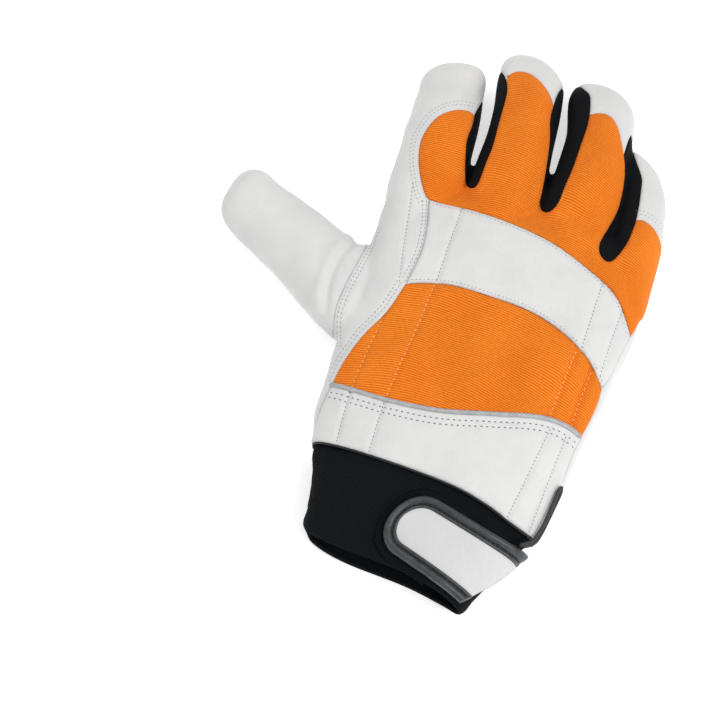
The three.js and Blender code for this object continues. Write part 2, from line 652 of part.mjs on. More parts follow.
// A place on the hand or the knit wrist: y along the glove, arc round the surface from the middle of the back.
function pointOnRing(ring, arc) {
  const topIndex = 60;
  const direction = arc > 0 ? -1 : 1;
  let rest = Math.abs(arc);
  let i = topIndex;
  for (;;) {
    const next = (i + direction + 240) % 240;
    const step = ring[i].distanceTo(ring[next]);
    if (step >= rest) return ring[i].clone().lerp(ring[next], rest / step);
    rest -= step;
    i = next;
  }
}

const cuffPoint = (y, arc, offset) =>
  pointOnRing(roundRing(cuffSectionAt(-y / cuffLength, offset), 240, cuffSquareness), arc);
const handPoint = (y, arc, offset) =>
  pointOnRing(roundRing(handSectionAt(y / handLength, offset), 240, handSquareness), arc);

// A thin patch that lies round the knit wrist. Columns run from the round tip to the root.
const strapStart = { across: 0.024, along: 0.525 }; // the strap's tip, as shares of cuffBreadth and cuffLength
function patchGrid(tipShift, length, halfWidthAt, columns, rows) {
  const heading = radians(strapTurn);
  const start = new THREE.Vector2(strapStart.across * cuffBreadth, cuffY(strapStart.along));
  const grid = [];
  for (let c = 0; c <= columns; c++) {
    const run = ((1 - Math.cos(((c + 0.35) / (columns + 0.35)) * (Math.PI / 2))) * (length + tipShift)) - tipShift;
    const halfWidth = halfWidthAt(run + tipShift);
    const column = [];
    for (let r = 0; r <= rows; r++) {
      const aside = lerp(-halfWidth, halfWidth, r / rows);
      column.push(
        new THREE.Vector2(
          start.x + run * Math.cos(heading) - aside * Math.sin(heading),
          start.y + run * Math.sin(heading) + aside * Math.cos(heading),
        ),
      );
    }
    grid.push(column);
  }
  return grid;
}

function patchSolid(grid, low, high) {
  const rings = grid.map((column) => {
    const outside = column.map((p) => cuffPoint(p.y, p.x, high));
    const inside = column.map((p) => cuffPoint(p.y, p.x, low));
    return [...outside, ...inside.reverse()];
  });
  return loft(rings);
}

const widthAlong = (tipWidth, rootWidth, length) => (run) => {
  const full = lerp(tipWidth, rootWidth, Math.min(run / length, 1)) / 2;
  const into = Math.min(run / full, 1);
  return Math.max(full * Math.sqrt(1 - (1 - into) ** 2.3), 0.6);
};

const patchTop = -cuffInset + layerGap + patchWall;
const strapBottom = patchTop + layerGap;
const strapTop = strapBottom + strapWall;
const patchLength = 0.5 * strapLength;
const patchTipWidth = strapTipWidth + 2 * bindingWidth + 2 * patchMargin;
const patchRootWidth = patchTipWidth;
const patchShift = bindingWidth + patchMargin;
const patchCut = patchSolid(
  patchGrid(patchShift, patchLength, widthAlong(patchTipWidth, patchRootWidth, strapLength), 8, 6),
  -cuffInset + layerGap,
  patchTop,
);
solids.fastening_patch = keepLargest(patchCut.subtract(pastHem).intersect(pastSeam(-half - 1)));

const strapGrid = patchGrid(0, strapLength, widthAlong(strapTipWidth, strapRootWidth, strapLength), 13, 6);
solids.wrist_strap = patchSolid(strapGrid, strapBottom, strapTop);

// A closed bar of even section along a path of points, each with its own up direction.
function bar(path, ups, outline) {
  const rings = path.map((point, i) => {
    const ahead = path[Math.min(i + 1, path.length - 1)].clone().sub(path[Math.max(i - 1, 0)]).normalize();
    const side = ahead.clone().cross(ups[i]).normalize();
    const up = side.clone().cross(ahead);
    return outline.map(([u, v]) => point.clone().addScaledVector(side, u).addScaledVector(up, v));
  });
  return loft(rings);
}

// The binding: a bead round the strap's edge.
const beadHeight = strapBottom + bindingThickness / 2;
const edgeOut = bindingWidth / 2 + layerGap + 0.15;
const bindingWidths = widthAlong(strapTipWidth + 2 * edgeOut, strapRootWidth + 2 * edgeOut, strapLength);
const bindingGrid = patchGrid(edgeOut, strapLength, bindingWidths, 13, 1);
const bindingPlan = [...bindingGrid.map((column) => column[0]).reverse(), ...bindingGrid.map((column) => column[1])];
const bindingPath = bindingPlan.map((p) => cuffPoint(p.y, p.x, beadHeight));
const bindingUps = bindingPlan.map((p, i) => cuffPoint(p.y, p.x, beadHeight + 2).sub(bindingPath[i]).normalize());
const beadOutline = Array.from({ length: 6 }, (_, i) => {
  const angle = (i / 6) * 2 * Math.PI;
  return [(Math.cos(angle) * bindingWidth) / 2, (Math.sin(angle) * bindingThickness) / 2];
});
solids.strap_binding = bar(bindingPath, bindingUps, beadOutline);

// The pull loop: a cord folded back on itself, lying along the outer side of the wrist.
const loopPlan = [
  { along: 0.0, out: -0.9, apart: -0.56 }, { along: 0.12, out: -0.35, apart: -0.56 }, { along: 0.3, out: -0.05, apart: -0.56 },
  { along: 0.6, out: 0.0, apart: -0.7 }, { along: 0.82, out: 0.0, apart: -1.1 }, { along: 0.93, out: 0.0, apart: -0.95 },
  { along: 1.0, out: 0.0, apart: 0.0 }, { along: 0.93, out: 0.0, apart: 0.95 }, { along: 0.82, out: 0.0, apart: 1.1 },
  { along: 0.6, out: 0.0, apart: 0.7 }, { along: 0.3, out: -0.05, apart: 0.56 }, { along: 0.12, out: -0.35, apart: 0.56 },
  { along: 0.0, out: -0.9, apart: 0.56 },
];
const loopHeight = backProud + seamGap + loopThickness;
const loopPath = loopPlan.map((row) => {
  const y = loopStart.y * handLength + row.along * loopLength;
  const arc = loopStart.x * palmBreadth + row.out * 8 + row.apart * loopGap;
  return handPoint(y, arc, loopHeight);
});
const loopUps = loopPlan.map((row, i) => {
  const y = loopStart.y * handLength + row.along * loopLength;
  const arc = loopStart.x * palmBreadth + row.out * 8 + row.apart * loopGap;
  return handPoint(y, arc, loopHeight + 2).sub(loopPath[i]).normalize();
});
const loopOutline = Array.from({ length: 6 }, (_, i) => {
  const angle = (i / 6) * 2 * Math.PI;
  return [(Math.cos(angle) * loopThickness) / 2, (Math.sin(angle) * loopWidth) / 2];
});
solids.pull_loop = bar(loopPath, loopUps, loopOutline);

// Finishes
const finish = (color, roughness) => new THREE.MeshStandardMaterial({ color, roughness, metalness: 0 });
const whiteLeather = finish(0xe6e7e5, 0.55);
const orangeTextile = finish(0xff7a14, 0.85);
const blackTextile = finish(0x14171a, 0.8);
const blackKnit = finish(0x101316, 0.95);
const greyBinding = finish(0x55575b, 0.5);
const silverPiping = finish(0xa9adb3, 0.35);
const finishOf = {
  finger_back_textile: orangeTextile,
  hand_back_textile: orangeTextile,
  reflective_piping: silverPiping,
  knit_cuff: blackKnit,
  fastening_patch: blackKnit,
  strap_binding: greyBinding,
  pull_loop: blackTextile,
};

const glove = new THREE.Group();
for (const [name, solid] of Object.entries(solids)) {
  const { vertProperties, triVerts } = solid.getMesh();
  const geometry = new THREE.BufferGeometry();
  geometry.setAttribute('position', new THREE.BufferAttribute(vertProperties, 3));
  geometry.setIndex(new THREE.BufferAttribute(triVerts, 1));
  const material = finishOf[name] ?? (name.startsWith('fourchette') ? blackTextile : whiteLeather);
  const mesh = new THREE.Mesh(geometry, material);
  mesh.name = name;
  glove.add(mesh);
}

// Puts the origin under the middle of the glove.
const box = new THREE.Box3().setFromObject(glove);
glove.position.set(-(box.min.x + box.max.x) / 2, -(box.min.y + box.max.y) / 2, -box.min.z);

export default glove;
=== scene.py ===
"""A right-hand work glove of white leather and orange textile, lying palm down.

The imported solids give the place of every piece. This script replaces them with sewn panels, a knit
wrist, a strap with its binding, stitches and studio light. Shapes are worked out in millimetres in
the glove's own frame: x across from the middle of the hand, y from the knit wrist's seam towards
the fingers, z up from the floor.
"""

from __future__ import annotations

import logging
import math
from dataclasses import dataclass
from enum import Enum
from typing import Callable, Iterable, Sequence

import bmesh
import bpy
import numpy as np
from mathutils import Matrix, Vector
from mathutils.bvhtree import BVHTree
from mathutils.kdtree import KDTree


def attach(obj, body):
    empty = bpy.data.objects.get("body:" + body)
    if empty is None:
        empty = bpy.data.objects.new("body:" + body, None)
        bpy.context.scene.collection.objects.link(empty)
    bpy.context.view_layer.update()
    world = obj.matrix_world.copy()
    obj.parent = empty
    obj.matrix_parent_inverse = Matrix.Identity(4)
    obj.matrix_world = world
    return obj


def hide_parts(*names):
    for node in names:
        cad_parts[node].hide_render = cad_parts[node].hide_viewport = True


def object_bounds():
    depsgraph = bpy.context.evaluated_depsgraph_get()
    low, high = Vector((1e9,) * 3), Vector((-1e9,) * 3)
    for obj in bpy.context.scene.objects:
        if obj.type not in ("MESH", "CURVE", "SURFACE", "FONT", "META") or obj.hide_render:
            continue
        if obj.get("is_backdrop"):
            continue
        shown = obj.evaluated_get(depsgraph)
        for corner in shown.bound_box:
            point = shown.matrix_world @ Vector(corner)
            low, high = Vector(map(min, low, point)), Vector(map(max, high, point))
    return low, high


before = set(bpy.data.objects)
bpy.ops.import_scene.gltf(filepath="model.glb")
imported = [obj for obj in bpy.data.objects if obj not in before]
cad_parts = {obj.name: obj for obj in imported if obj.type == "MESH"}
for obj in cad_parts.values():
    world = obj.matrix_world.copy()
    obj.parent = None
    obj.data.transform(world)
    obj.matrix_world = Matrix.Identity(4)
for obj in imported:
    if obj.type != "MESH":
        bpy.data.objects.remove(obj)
CAD_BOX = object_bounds()

LOG = logging.getLogger("glove")
SHIFT = np.array([36.303, -83.740, 0.0])  # from the glove's own frame to the row's, millimetres
MM = 0.001

PALM_BREADTH = 132.0
HAND_LENGTH = 140.0
HAND_THICKNESS = 39.0
CUFF_LENGTH = 50.0
CUFF_BREADTH = 116.0
CUFF_THICKNESS = 33.0
HAND_SQUARENESS = 2.7
CUFF_SQUARENESS = 2.5
FINGER_SQUARENESS = 2.25
BACK_LEVEL = 0.42 * HAND_THICKNESS  # where the back's panels meet the palm leather at the sides

# Rows of a section table: along, shift, breadth, top, bottom, as shares of the part's own sizes.
HAND_SECTIONS = np.array([
    (-0.2, -0.03, 0.833, 0.84, -0.02), (0.015, -0.025, 0.863, 0.88, -0.03),
    (0.11, -0.03, 0.911, 0.91, -0.05), (0.26, -0.0215, 0.934, 0.95, -0.05),
    (0.46, -0.014, 0.974, 0.98, -0.05), (0.62, -0.006, 0.989, 1.0, -0.05),
    (0.77, 0.006, 1.0, 1.02, -0.04), (0.9, 0.004, 0.99, 0.96, 0.02),
    (0.98, 0.002, 0.93, 0.8, 0.12), (1.03, 0.0, 0.84, 0.62, 0.26),
])
CUFF_SECTIONS = np.array([
    (-0.34, -0.024, 0.97, 1.02, 0.0), (0.05, -0.031, 0.959, 1.0, -0.02),
    (0.25, -0.026, 0.914, 0.96, -0.03), (0.42, -0.035, 0.868, 0.92, -0.03),
    (0.62, -0.0505, 0.823, 0.88, -0.03), (0.82, -0.066, 0.77, 0.82, -0.03),
    (1.0, -0.076, 0.713, 0.78, -0.02), (1.2, -0.092, 0.656, 0.72, 0.0),
    (1.45, -0.108, 0.594, 0.66, 0.0),
])

# Two corners past the hem, outside the glove, which close an area behind a seam.
FAR_CORNERS = [[300.0, -140.0], [-300.0, -140.0]]
# Seams as shares of the palm's breadth across and the hand's length along.
BAND_TOP = ((-0.34, 0.913), (-0.11, 0.918), (0.1, 0.893), (0.27, 0.838),
            (0.4, 0.78), (0.475, 0.7), (0.56, 0.58))
BAND_BOTTOM = ((-0.314, 0.6), (-0.17, 0.634), (-0.02, 0.636), (0.15, 0.625), (0.3, 0.58),
               (0.41, 0.515), (0.54, 0.37))
BAND_LEFT = ((-0.34, 0.913), (-0.312, 0.82), (-0.3, 0.72), (-0.314, 0.6))
BACK_LEFT = ((-0.314, 0.6), (-0.345, 0.49), (-0.4, 0.39), (-0.436, 0.29), (-0.45, 0.205))
PIPING_LINE = ((-0.45, 0.203), (-0.25, 0.193), (-0.06, 0.208), (0.12, 0.25), (0.3, 0.296),
               (0.42, 0.293), (0.56, 0.25))
WRIST_LEFT = ((-0.45, 0.203), (-0.46, 0.1), (-0.455, -0.1))
CUFF_SEAM = ((-0.62, 0.014), (-0.25, 0.003), (0.05, -0.012), (0.2, -0.038), (0.36, -0.08), (0.6, -0.09))
THUMB_SEAM = ((-0.502, 0.79), (-0.509, 0.66), (-0.524, 0.54), (-0.528, 0.44), (-0.49, 0.33))
HEM = ((-0.55, -0.66), (-0.45, -0.74), (-0.4, -0.82), (-0.26, -0.88), (0.0, -0.92), (0.17, -1.0),
       (0.29, -1.1), (0.5, -1.22))

# The line of sight, and the seams of the fingers as they are seen along it, in millimetres from the anchor.
ANCHOR = np.array([-10.0, 84.0, 0.0])
AZIMUTH = math.radians(18.0)
ELEVATION = math.radians(70.0)
DISTANCE = 1600.0
RIGHT = np.array([math.cos(AZIMUTH), math.sin(AZIMUTH), 0.0])
BACKWARD = np.array([math.sin(AZIMUTH) * math.cos(ELEVATION), -math.cos(AZIMUTH) * math.cos(ELEVATION),
                     math.sin(ELEVATION)])
UPWARD = np.cross(BACKWARD, RIGHT)
INDEX_CROWN = ((-20.2, 61.4), (-22.5, 67.9), (-24.0, 75.6), (-24.4, 82.8), (-23.1, 90.5), (-19.3, 97.2),
               (-14.8, 101.8), (-10.3, 103.8), (-5.8, 104.7), (-1.3, 104.2), (1.3, 103.3), (2.0, 102.0))
MIDDLE_CROWN = ((17.3, 118.9), (18.2, 120.9), (20.4, 122.3), (24.0, 122.8), (28.5, 121.8), (33.0, 118.4),
                (36.6, 113.9), (38.9, 109.0), (39.6, 106.3))
RING_CROWN = ((56.9, 102.2), (61.4, 102.9), (65.5, 102.2), (68.7, 99.3), (70.6, 94.1),
              (72.0, 87.9), (73.0, 82.7))
LITTLE_CROWN = ((79.0, 52.3), (81.3, 52.4), (85.3, 50.0), (88.4, 46.1), (90.0, 42.0), (90.9, 37.0),
                (92.0, 31.0),
                (95.0, 24.0))
OUTER_SEAM = ((82.0, 12.0), (78.6, 1.0), (73.4, -6.9), (67.1, -20.6), (62.0, -29.0), (61.2, -33.0),
              (57.5, -42.0),
              (53.0, -50.4), (51.9, -53.2), (49.1, -57.8), (44.6, -69.6), (37.0, -90.0), (30.0, -112.0))


# Measuring helpers


def seen(points: np.ndarray) -> np.ndarray:
    """Places as they are seen along the line of sight: across and up, in millimetres from the anchor."""
    offset = points - ANCHOR
    scale = DISTANCE / (DISTANCE - offset @ BACKWARD)
    return np.column_stack([offset @ RIGHT * scale, offset @ UPWARD * scale])


def to_row(points: np.ndarray) -> np.ndarray:
    """Turns millimetres in the glove's frame into metres in the row's frame."""
    return (np.asarray(points, float) + SHIFT) * MM


def column_at(rows: np.ndarray, column: int, along: np.ndarray | float) -> np.ndarray:
    """Reads a table's column on a smooth curve through its rows.

    Args:
        rows: The table, with the place along in its first column.
        column: The column to read.
        along: The places to read it at.

    Returns:
        The column's value at each place.
    """
    x, y = rows[:, 0], rows[:, column]
    slopes = np.gradient(y, x)
    slopes[1:-1] = (y[2:] - y[:-2]) / (x[2:] - x[:-2])
    at = np.clip(np.asarray(along, float), x[0], x[-1])
    i = np.clip(np.searchsorted(x, at, side="right") - 1, 0, len(x) - 2)
    span = x[i + 1] - x[i]
    t = (at - x[i]) / span
    ends = y[i] * (1 + 2 * t) * (1 - t) ** 2 + y[i + 1] * t * t * (3 - 2 * t)
    return ends + span * (slopes[i] * t * (1 - t) ** 2 - slopes[i + 1] * t * t * (1 - t))


def smooth_line(points: Sequence[Sequence[float]], steps: int = 10) -> np.ndarray:
    """Draws a smooth open curve through points.

    Args:
        points: The points, in order.
        steps: Steps between two of them.

    Returns:
        The curve's points.
    """
    p = np.asarray(points, float)
    padded = np.vstack([p[:1], p, p[-1:]])
    t = np.linspace(0, 1, steps, endpoint=False)[:, None]
    parts = []
    for a, b, c, d in zip(padded, padded[1:], padded[2:], padded[3:]):
        start, end = (c - a) / 2, (d - b) / 2
        cubic = 2 * b - 2 * c + start + end
        square = -3 * b + 3 * c - 2 * start - end
        parts.append(cubic * t**3 + square * t**2 + start * t + b)
    return np.vstack(parts + [p[-1:]])


def seam(rows: Sequence[tuple[float, float]], breadth: float = PALM_BREADTH,
         length: float = HAND_LENGTH) -> np.ndarray:
    """Draws a seam that is given as shares of a breadth and a length."""
    return smooth_line(np.asarray(rows) * (breadth, length))


def beside(line: np.ndarray, distance: float) -> np.ndarray:
    """Draws a line beside another, at a distance to its left, seen from above."""
    ahead = np.gradient(line, axis=0)
    ahead /= np.linalg.norm(ahead, axis=1, keepdims=True) + 1e-9
    return line + np.column_stack([-ahead[:, 1], ahead[:, 0]]) * distance


def line_distance(points: np.ndarray, line: np.ndarray, reach: float = 1e9) -> tuple[np.ndarray, np.ndarray]:
    """Measures how far points are from a line, in plan.

    Args:
        points: The points, of which x and y count.
        line: The line's points.
        reach: Points further away than this get a large distance.

    Returns:
        Each point's distance, and the place on the line that is nearest, as a length along it.
    """
    distance = np.full(len(points), 1e6)
    place = np.zeros(len(points))
    low, high = line.min(0) - reach, line.max(0) + reach
    near = np.flatnonzero(((points[:, :2] >= low) & (points[:, :2] <= high)).all(1))
    xy = points[near, :2]
    best, at, run = distance[near], place[near], 0.0
    for a, b in zip(line[:-1], line[1:]):
        ab = b - a
        length = float(np.hypot(*ab)) + 1e-12
        t = np.clip((xy - a) @ ab / length**2, 0, 1)
        d = np.hypot(xy[:, 0] - a[0] - t * ab[0], xy[:, 1] - a[1] - t * ab[1])
        closer = d < best
        best = np.where(closer, d, best)
        at = np.where(closer, run + t * length, at)
        run += length
    distance[near], place[near] = best, at
    return distance, place


def inside_outline(points: np.ndarray, outline: np.ndarray) -> np.ndarray:
    """Measures how far points are inside a closed outline, in plan. Outside is negative."""
    x, y = points[:, 0], points[:, 1]
    closed = np.vstack([outline, outline[:1]])
    within = np.zeros(len(points), bool)
    for (ax, ay), (bx, by) in zip(closed[:-1], closed[1:]):
        if ay == by:
            continue
        crosses = (ay > y) != (by > y)
        within ^= crosses & (x < (bx - ax) * (y - ay) / (by - ay) + ax)
    distance, _ = line_distance(points, closed)
    return np.where(within, distance, -distance)


def soft_noise(points: np.ndarray, scale: float, seed: int, waves: int = 14) -> np.ndarray:
    """Gives a smooth uneven field between about -1 and 1.

    Args:
        points: Places in millimetres.
        scale: Typical length of one wave.
        seed: Seed of its directions.
        waves: How many waves are added.

    Returns:
        The field's value at each place.
    """
    random = np.random.default_rng(seed)
    heading = random.normal(size=(waves, 3))
    heading /= np.linalg.norm(heading, axis=1, keepdims=True)
    heading *= (2 * math.pi / scale) * random.uniform(0.55, 1.5, (waves, 1))
    phase = random.uniform(0, 2 * math.pi, waves)
    return np.sin(points @ heading.T + phase).sum(1) * math.sqrt(2 / waves) * 0.7


def ease(share: np.ndarray) -> np.ndarray:
    """Rises from 0 to 1 fast at first and then level, like the edge of a pad."""
    t = np.clip(share, 0, 1)
    return 1 - (1 - t) ** 2.6


# Fingers


@dataclass(frozen=True)
class Finger:
    """A finger's size and place. Section rows: along, sway, rise, wide, thick. Its tip can lean aside."""

    name: str
    root: tuple[float, float]
    turn: float
    length: float
    width: float
    thickness: float
    rows: tuple[tuple[float, ...], ...]
    tip: float = 0.15
    blunt: float = 2.2
    lean: float = 0.0

    @property
    def sections(self) -> np.ndarray:
        """The section rows as one table."""
        return np.asarray(self.rows)

    def centre(self, along: np.ndarray) -> np.ndarray:
        """The middle of the finger at shares of its length."""
        turn = math.radians(self.turn)
        ahead = np.array([math.sin(turn), math.cos(turn), 0.0])
        across = np.array([math.cos(turn), -math.sin(turn), 0.0])
        start = np.array([self.root[0] * PALM_BREADTH, self.root[1] * HAND_LENGTH, 0.0])
        along = np.asarray(along, float)
        sway = column_at(self.sections, 1, along) * self.width
        place = start + np.multiply.outer(along * self.length, ahead) + np.multiply.outer(sway, across)
        place[..., 2] = column_at(self.sections, 2, along) * HAND_THICKNESS
        return place

    def frames(self, along: np.ndarray) -> tuple[np.ndarray, ...]:
        """The finger's own directions at shares of its length.

        Args:
            along: Shares of the length.

        Returns:
            Centres, side, up and tangent directions, half widths and half thicknesses.
        """
        along = np.atleast_1d(np.asarray(along, float))
        tangent = self.centre(np.minimum(along + 0.02, 1)) - self.centre(np.maximum(along - 0.02, 0))
        tangent /= np.linalg.norm(tangent, axis=1, keepdims=True)
        side = np.column_stack([tangent[:, 1], -tangent[:, 0], np.zeros(len(along))])
        side /= np.linalg.norm(side, axis=1, keepdims=True)
        up = np.cross(side, tangent)
        wide = column_at(self.sections, 3, along) * self.width / 2
        thick = column_at(self.sections, 4, along) * self.thickness / 2
        return self.centre(along), side, up, tangent, wide, thick

    def locate(self, points: np.ndarray) -> tuple[np.ndarray, ...]:
        """Finds points in the finger's own bent frame.

        Args:
            points: Places in the glove's frame.

        Returns:
            Share of the length, distance aside, distance up, half width and half thickness there.
        """
        stations = np.linspace(-0.05, 1.0, 64)
        centres, side, up, tangent, wide, thick = self.frames(stations)
        best = np.full(len(points), 1e9)
        index = np.zeros(len(points), int)
        for i, centre in enumerate(centres):
            d = (points[:, 0] - centre[0]) ** 2 + (points[:, 1] - centre[1]) ** 2
            closer = d < best
            best = np.where(closer, d, best)
            index[closer] = i
        offset = points - centres[index]
        ahead = (offset * tangent[index]).sum(1)
        share = stations[index] + ahead / self.length
        aside = (offset * side[index]).sum(1)
        above = (offset * up[index]).sum(1)
        return share, aside, above, wide[index], thick[index]

    def rings(self, sides: int) -> list[np.ndarray]:
        """The rings of points round the finger, from its root to its tip."""
        body = np.linspace(0, 1 - self.tip, 28)
        angle = np.linspace(0, math.pi / 2, 12)[1:] * 0.985
        stations = np.concatenate([body, 1 - self.tip + self.tip * np.sin(angle)])
        made = []
        centres, side, up, tangent, wide, thick = self.frames(stations)
        into = np.maximum(0, (stations - (1 - self.tip)) / self.tip)
        shrink = np.sqrt(np.maximum(0, 1 - into**self.blunt))
        lean = self.lean * np.clip((stations - 0.5) / 0.5, 0, 1) ** 1.6
        for k in range(len(stations)):
            ring = rounded_ring(centres[k], side[k], up[k], max(wide[k] * shrink[k], 0.4),
                                max(thick[k] * shrink[k], 0.4), sides, FINGER_SQUARENESS)
            aside = (ring - centres[k]) @ side[k] / wide[k]
            made.append(ring - np.outer(aside * lean[k], tangent[k]))
        return made


FINGERS = {
    "index": Finger("index", (-0.364, 0.8), -3.0, 94.3, 34, 27, (
        (0.0, 0.06, 0.5, 0.86, 1.12), (0.16, 0.02, 0.53, 1.0, 1.14), (0.32, 0.0, 0.55, 1.03, 1.1),
        (0.5, -0.01, 0.54, 0.98, 1.03), (0.68, -0.02, 0.47, 0.95, 0.98), (0.84, -0.065, 0.37, 0.91, 0.9),
        (1.0, -0.105, 0.28, 0.85, 0.82)), 0.13, 3.4, -3.8),
    "middle": Finger("middle", (-0.091, 0.8), -4.6, 110, 34, 27, (
        (0.0, 0.0, 0.5, 0.98, 1.14), (0.25, 0.05, 0.56, 1.07, 1.12), (0.42, 0.07, 0.57, 1.02, 1.03),
        (0.56, 0.08, 0.54, 0.95, 0.99), (0.72, 0.068, 0.47, 0.94, 0.95), (0.86, 0.02, 0.37, 0.95, 0.88),
        (1.0, 0.0, 0.28, 0.92, 0.8)), 0.15, 2.5, 3.5),
    "ring": Finger("ring", (0.182, 0.8), -5.4, 106, 33, 26, (
        (0.0, 0.0, 0.5, 1.0, 1.16), (0.24, 0.07, 0.56, 1.1, 1.14), (0.4, 0.115, 0.57, 1.06, 1.05),
        (0.57, 0.13, 0.54, 0.985, 1.0), (0.72, 0.133, 0.47, 0.955, 0.95), (0.86, 0.06, 0.38, 0.95, 0.88),
        (1.0, -0.03, 0.3, 0.92, 0.8)), 0.15, 2.5, 6.0),
    "little": Finger("little", (0.409, 0.74), -6.6, 86, 25.6, 24, (
        (0.0, -0.1, 0.48, 0.86, 1.16), (0.2, 0.05, 0.51, 1.02, 1.16), (0.36, 0.14, 0.52, 0.95, 1.08),
        (0.52, 0.165, 0.49, 0.9, 1.0), (0.68, 0.13, 0.42, 0.86, 0.95), (0.84, 0.0, 0.35, 0.82, 0.9),
        (1.0, -0.12, 0.3, 0.78, 0.84)), 0.15, 2.4, 8.0),
}
THUMB = Finger("thumb", (-0.405, 0.53), -65.3, 95, 36, 29, (
    (0.0, 0.0, 0.4, 1.25, 1.0), (0.16, -0.03, 0.4, 1.26, 1.06), (0.32, -0.03, 0.38, 1.1, 1.02),
    (0.48, -0.01, 0.36, 1.01, 0.96), (0.66, 0.0, 0.35, 0.95, 0.92), (0.84, -0.02, 0.34, 0.88, 0.9),
    (1.0, 0.03, 0.32, 0.84, 0.84)), 0.15, 2.9, -4.4)


@dataclass(frozen=True)
class Fork:
    """A black strip between two fingers. Its rim is given as it is seen, with the textile's corners on it."""

    left: str
    right: str
    end: float
    corners: tuple[int, int]
    rim: tuple[tuple[float, float], ...]
    steps: int = 6

    @property
    def name(self) -> str:
        """The name of its solid."""
        return f"fourchette_{self.left}_{self.right}"

    @property
    def outline(self) -> np.ndarray:
        """The rim as a smooth curve."""
        return smooth_line(self.rim, self.steps)

    @property
    def textile_edge(self) -> np.ndarray:
        """The part of the rim that lies against the textile."""
        first, last = self.corners
        return self.outline[first * self.steps:last * self.steps + 1]


FORKS = (
    Fork("index", "middle", 142.0, (3, 21), (
        (6.4, 109.7), (4.9, 107.2), (3.3, 104.5), (2.0, 102.0), (1.2, 97.7), (-0.4, 93.6), (-1.7, 89.8),
        (-2.1, 84.6), (-2.4, 79.2), (-2.6, 74.2), (-2.5, 71.1), (-1.3, 68.4), (1.3, 67.2), (3.5, 68.4),
        (4.7, 71.1), (7.3, 78.3), (10.9, 87.3), (13.2, 95.9), (15.2, 103.1), (17.0, 109.4), (17.9, 114.4),
        (17.3, 118.9), (15.9, 121.6), (13.9, 123.6))),
    Fork("middle", "ring", 140.0, (3, 21), (
        (45.3, 115.0), (43.1, 114.4), (41.0, 110.8), (39.6, 106.3), (38.4, 102.2), (37.8, 97.7), (38.0, 94.0),
        (37.6, 87.4), (36.5, 79.2), (35.3, 72.0), (34.0, 64.8), (33.0, 60.7), (33.4, 57.7), (35.9, 55.7),
        (39.3, 56.5), (42.1, 60.7), (45.2, 68.2), (49.5, 78.3), (52.2, 86.4), (54.4, 92.7), (55.9, 97.2),
        (56.9, 102.2), (57.2, 107.2), (57.0, 111.5), (54.5, 113.9), (51.5, 115.9), (48.4, 115.0),
        (46.8, 111.7))),
    Fork("ring", "little", 126.0, (2, 17), (
        (76.6, 93.1), (74.8, 89.4), (73.0, 82.7), (73.4, 77.5), (72.9, 70.2), (71.5, 62.0), (69.2, 54.8),
        (65.5, 48.2), (62.4, 43.0), (61.1, 38.8), (62.0, 34.7), (64.5, 32.2), (67.1, 32.2), (69.6, 34.4),
        (72.6, 38.0), (75.4, 42.6), (77.4, 47.6), (79.0, 52.3), (80.6, 60.9), (81.3, 67.0), (81.7, 71.8),
        (79.8, 77.5), (77.4, 84.2))),
)
# Half the breadth and height of a web at the fork, and the share of them that is left at its end.
WEB_HALF = (6.5, 8.0)
WEB_TAPER = 0.45
WEBS = (((-27.5, 134.0, 19.0), (-30.8, 157.5, 16.0)), ((9.5, 132.0, 19.0), (4.6, 164.5, 16.0)),
        ((45.0, 118.0, 19.0), (41.5, 140.0, 16.0)), ((-56.0, 93.0, 12.0), (-68.5, 105.5, 11.0)))
FORK_LEVEL = -0.5  # share of a finger's half thickness where the black strip meets the palm leather


def rounded_ring(centre: np.ndarray, side: np.ndarray, up: np.ndarray, wide: float, high: float,
                 sides: int, squareness: float) -> np.ndarray:
    """Gives points on a rounded section, in the plane of two directions."""
    angle = np.linspace(0, 2 * math.pi, sides, endpoint=False)
    c, s = np.cos(angle), np.sin(angle)
    u = np.sign(c) * np.abs(c) ** (2 / squareness) * wide
    v = np.sign(s) * np.abs(s) ** (2 / squareness) * high
    return centre + np.multiply.outer(u, side) + np.multiply.outer(v, up)


def flat_ring(rows: np.ndarray, along: float, y: float, breadth: float, thickness: float, offset: float,
              sides: int, squareness: float) -> np.ndarray:
    """Gives points on a section that stands square to the glove's length."""
    top = float(column_at(rows, 3, along)) * thickness
    bottom = float(column_at(rows, 4, along)) * thickness
    centre = np.array([float(column_at(rows, 1, along)) * breadth, y, (top + bottom) / 2])
    return rounded_ring(centre, np.array([1.0, 0, 0]), np.array([0, 0, 1.0]),
                        float(column_at(rows, 2, along)) * breadth / 2 + offset,
                        (top - bottom) / 2 + offset, sides, squareness)


def hand_ring(along: float, offset: float = 0.0, sides: int = 96) -> np.ndarray:
    """A section of the hand at a share of its length."""
    return flat_ring(HAND_SECTIONS, along, along * HAND_LENGTH, PALM_BREADTH, HAND_THICKNESS, offset, sides,
                     HAND_SQUARENESS)


def cuff_ring(along: float, offset: float = 0.0, sides: int = 240) -> np.ndarray:
    """A section of the knit wrist at a share of its length."""
    return flat_ring(CUFF_SECTIONS, along, -along * CUFF_LENGTH, CUFF_BREADTH, CUFF_THICKNESS, offset, sides,
                     CUFF_SQUARENESS)


def on_ring(ring: np.ndarray, arc: float) -> np.ndarray:
    """Walks round a section from the middle of its top. A positive arc goes to the outer side."""
    count = len(ring)
    i, step = count // 4, -1 if arc > 0 else 1
    rest = abs(arc)
    while True:
        following = (i + step) % count
        length = float(np.linalg.norm(ring[following] - ring[i]))
        if length >= rest:
            return ring[i] + (ring[following] - ring[i]) * (rest / max(length, 1e-9))
        rest -= length
        i = following


